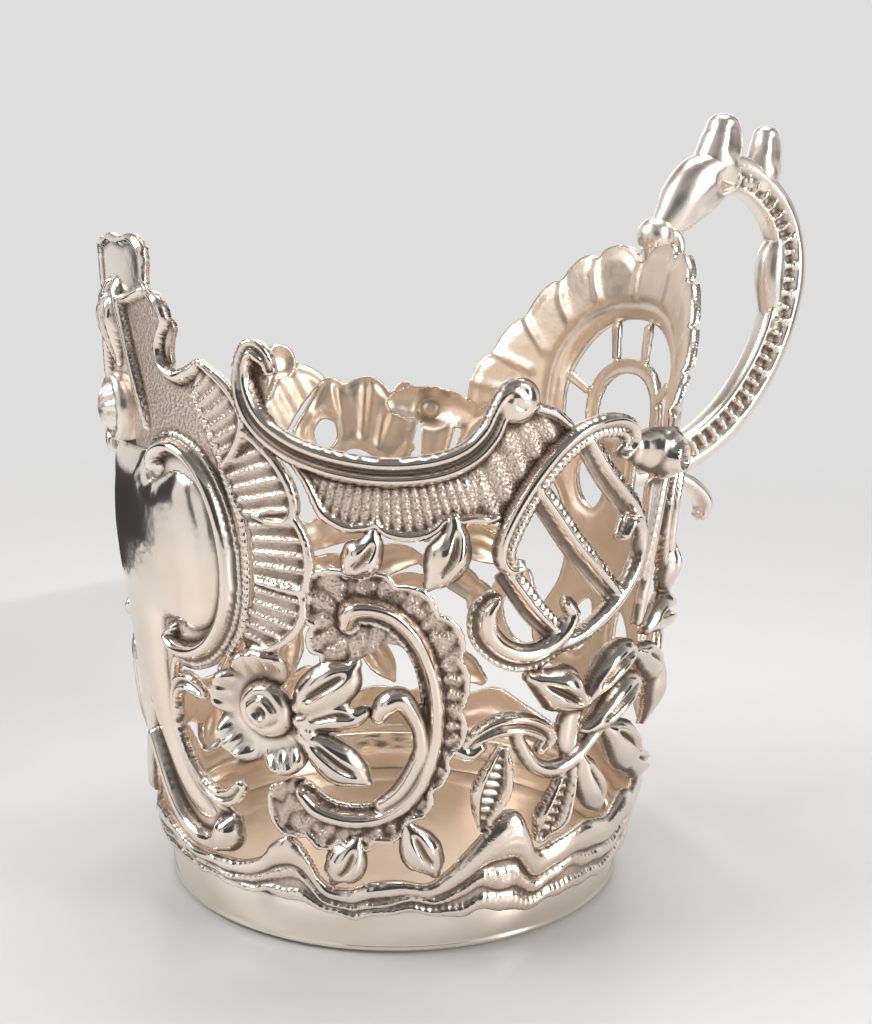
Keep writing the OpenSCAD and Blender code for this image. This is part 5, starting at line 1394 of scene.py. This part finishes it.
def chased_silver():
    """Polished on the high places, dark in the creases and stipple pits with patina and painted shade, matt
    where the ground is stippled.
    """
    f = Finish("chased_silver")
    cloud = f.noise(90, 4)
    recess, ridge, stipple = [f.value_of(key) for key in ("recess", "ridge", "stipple")]
    clean = f.blend(f.ranged(cloud, 0.35, 0.65, 0, 1), CHASED, CHASED_WARM)
    ground = f.blend(f.ranged(stipple, 0, 1, 0, 0.8), clean, MATT)
    dents = f.cells(2400)
    # Patina and painted shade: darker in the stipple pits, and where the recess values say a point lies
    # below the relief around it
    pit_patina_and_shade = f.sum_of(f.ranged(dents, 0, 0.45, 0.4, 0), stipple, "MULTIPLY")
    crease_patina_and_shade = f.sum_of(recess, f.ranged(cloud, 0.3, 0.7, -0.12, 0.12))
    dark = f.sum_of(f.ranged(crease_patina_and_shade, 0.12, 0.85, 0, 0.92), pit_patina_and_shade)
    rough = f.sum_of(f.ranged(cloud, 0.3, 0.7, 0.13, 0.22), f.ranged(stipple, 0, 1, 0, 0.22))
    rough = f.sum_of(rough, f.ranged(recess, 0, 1, 0, 0.3))
    soft = f.bump_from(f.noise(900, 3), 0.12, 0.0001)
    wavy = f.bump_from(f.noise(260, 2), 0.25, 0.0004, soft)
    return f.wear({
        "Base Color": f.blend(f.ranged(dark, 0, 1, 0, 0.95), ground, DARK),
        "Roughness": f.sum_of(rough, f.ranged(ridge, 0, 1, 0, -0.06)),
        "Normal": f.bump_from(f.sum_of(dents, stipple, "MULTIPLY"), 0.8, 0.0002, wavy),
    })


def inner_silver(name):
    """The unpolished inner face of the sheet, warm and matt, darker with patina and painted shade where it
    lies sunk below the face around it.
    """
    f = Finish(name)
    warm = f.blend(f.ranged(f.noise(70, 4), 0.3, 0.7, 0, 1), INSIDE, INSIDE_WARM)
    return f.wear({
        # Patina and painted shade in the dents of the inner face
        "Base Color": f.blend(f.ranged(f.value_of("recess"), 0.1, 1, 0, 0.75), warm, INSIDE_DARK),
        "Roughness": f.ranged(f.noise(300, 3), 0.3, 0.7, 0.32, 0.46),
        "Normal": f.bump_from(f.noise(700, 4), 0.35, 0.0002),
    })


def band_silver():
    """The plain band: smooth polished silver with faint wear."""
    f = Finish("band_silver")
    return f.wear({
        "Base Color": f.worn_silver(60),
        "Roughness": f.ranged(f.noise(180, 4), 0.3, 0.7, 0.08, 0.16),
        "Normal": f.bump_from(f.noise(420, 3), 0.1, 0.00015),
    })


def cast_silver():
    """The handle: polished casting, darker in its hollows by way of its point values, as patina and painted
    shade.
    """
    f = Finish("cast_silver")
    hollow = f.value_of("recess")
    rough = f.ranged(f.noise(200, 4), 0.3, 0.7, 0.24, 0.38)
    return f.wear({
        "Base Color": f.blend(f.ranged(hollow, 0.1, 0.9, 0, 0.85), f.worn_silver(80), DARK),
        "Roughness": f.sum_of(rough, f.ranged(hollow, 0, 1, 0, 0.25)),
        "Normal": f.bump_from(f.noise(500, 3), 0.2, 0.0002),
    })


def hand_over(piece, *finishes):
    """Gives a piece its finishes and hands it to the frame."""
    name = piece.name.split(".")[0]
    for finish in finishes:
        piece.data.materials.append(finish)
    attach(piece, "root")
    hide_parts(name)


near = common_relief()
far = near.copy()
lay_lattice(near)
lay_shell(far)
lay_waves(near)
lay_waves(far)
chased, inside_face = chased_silver(), inner_silver("inner_silver")
for sheet in sheet_pieces(*round_the_cup(near, far)):
    hand_over(sheet, chased, inside_face)
hand_over(foot_band(), band_silver())
hand_over(bottom_plate(), inner_silver("plate_silver"))
handle_silver = cast_silver()
for casting in (crest_boss(), handle_bow(), handle_knob(), thumb_rest(), handle_curl()):
    hollow_values(casting.data)
    hand_over(casting, handle_silver)


# Stage, light and camera
CAMERA_DISTANCE, CAMERA_HEIGHT = 194.1, 85.2
YAW, PITCH_DOWN, ROLL = 1.62 * DEGREE, 9.70 * DEGREE, 0.79 * DEGREE
FOCAL_PIXELS, PICTURE_HEIGHT, SENSOR = 1353.0, 1024, 36
CUP_TURN = Matrix.Rotation(-24.9 * DEGREE, 4, "Z")
MIDDLE = (0, 0, 0.05)


def plane(name, size, place, turn=(0, 0, 0)):
    bpy.ops.object.select_all(action="DESELECT")
    bpy.ops.mesh.primitive_plane_add(size=1, location=place, rotation=turn)
    sheet = bpy.context.object
    sheet.name = name
    sheet.scale = (size[0], size[1], 1)
    bpy.ops.object.transform_apply(location=False, rotation=False, scale=True)
    return sheet


def floor_finish():
    """Pale smooth table that fades into the background away from the cup."""
    f = Finish("pale_table", 0.0)
    f.wear({"Base Color": (0.65, 0.648, 0.65, 1), "Roughness": 0.3, "Specular IOR Level": 0.14})
    length = f.node("ShaderNodeVectorMath", {0: f.place}, operation="LENGTH").outputs["Value"]
    fade = f.sum_of(f.ranged(length, 0.14, 0.5, 0, 1), f.seen(), "MULTIPLY")
    haze = f.node("ShaderNodeEmission", {"Color": BACKGROUND}).outputs[0]
    both = f.blend_shaders(fade, f.shader.outputs[0], haze)
    f.feed(f.tree.nodes["Material Output"].inputs["Surface"], both)
    return f.material


def from_camera(right, forward, up):
    """A place in metres from the cup, as the camera sees it: to the right, further away and up."""
    return CUP_TURN @ Vector((right, forward, up))


def aimed(place, aim, front):
    return (Vector(aim) - Vector(place)).to_track_quat(front, "Y").to_euler()


def dark_card(name, size, place, aim=MIDDLE):
    card = plane(name, size, place, aimed(place, aim, "Z"))
    finish = Finish(name, 0.0).wear({"Base Color": (0.03, 0.03, 0.035, 1), "Roughness": 0.8})
    card.data.materials.append(finish)
    card.visible_camera = card.visible_shadow = card.visible_diffuse = False


def softbox(name, place, size, power, colour=(1, 1, 1)):
    light = bpy.data.lights.new(name, "AREA")
    light.shape, light.size, light.size_y = "RECTANGLE", size[0], size[1]
    light.energy, light.color = power, colour
    lamp = linked(name, light)
    lamp.location, lamp.rotation_euler = place, aimed(place, MIDDLE, "-Z")


def photo_camera():
    """The camera that the foot, the rim and the handle of the photograph were fitted to."""
    forward = Vector((
        math.sin(YAW) * math.cos(PITCH_DOWN), math.cos(YAW) * math.cos(PITCH_DOWN), -math.sin(PITCH_DOWN)))
    right = Vector((math.cos(YAW), -math.sin(YAW), 0))
    up = right.cross(forward)
    rolled_right = math.cos(ROLL) * right + math.sin(ROLL) * up
    rolled_up = -math.sin(ROLL) * right + math.cos(ROLL) * up
    place = CUP_TURN @ Vector((0, -CAMERA_DISTANCE * MM, CAMERA_HEIGHT * MM))
    axes = Matrix((rolled_right, rolled_up, -forward)).transposed().to_4x4()
    data = bpy.data.cameras.new("photo_camera")
    data.sensor_fit, data.sensor_height = "VERTICAL", SENSOR
    data.lens = FOCAL_PIXELS * SENSOR / PICTURE_HEIGHT
    data.clip_start = 0.01
    camera = linked("photo_camera", data)
    camera.matrix_world = Matrix.Translation(place) @ CUP_TURN @ axes
    bpy.context.scene.camera = camera


def room():
    """Soft light from all round, and a pale background that darkens upward in what is mirrored."""
    world = bpy.data.worlds.new("room")
    bpy.context.scene.world = world
    world.use_nodes = True
    n = Nodes(world.node_tree, "Generated")
    shine = n.tree.nodes["Background"]
    n.feed(shine.inputs["Color"], (0.50, 0.495, 0.49, 1))
    n.feed(shine.inputs["Strength"], 0.9)
    up = n.node("ShaderNodeSeparateXYZ", {0: n.place}).outputs["Z"]
    tone = n.blend(n.ranged(up, 0.3, 0.75, 0, 1), BACKGROUND, (0.16, 0.16, 0.165, 1))
    pale = n.node("ShaderNodeBackground", {"Color": tone, "Strength": 1.0})
    both = n.blend_shaders(n.seen(), shine.outputs[0], pale.outputs[0])
    n.feed(n.tree.nodes["World Output"].inputs[0], both)


plane("table", (6, 6), (0, 0, 0)).data.materials.append(floor_finish())
photo_camera()
for name, place, size, power, colour in (
    ("window_left", (-0.5, -0.12, 0.5), (0.34, 0.4), 2.5, (1, 0.975, 0.94)),
    ("window_right", (0.55, -0.36, 0.3), (0.18, 0.42), 2.3, (1, 0.96, 0.91)),
    ("ceiling", (0.05, 0.12, 0.7), (0.42, 0.3), 2.1, (1, 0.98, 0.95)),
    ("back_glow", (0.1, 0.75, 0.4), (0.8, 0.35), 0.8, (1, 1, 1)),
):
    softbox(name, from_camera(*place), size, power, colour)
for name, size, place in (
    ("card_front", (0.6, 0.4), (0.06, -0.5, 0.17)), ("card_right", (0.26, 0.36), (0.5, -0.02, 0.12)),
    ("card_left", (0.24, 0.3), (-0.5, 0.12, 0.13)), ("card_far_left", (0.1, 0.4), (-0.45, -0.25, 0.16)),
    ("card_back", (0.2, 0.24), (0.42, 0.42, 0.3)),
):
    dark_card(name, size, from_camera(*place))
dark_card("flag_behind", (0.2, 0.046), from_camera(-0.14, 0.125, 0.025), (0, 0, 0.025))
room()
bpy.context.scene.view_settings.view_transform = "Standard"
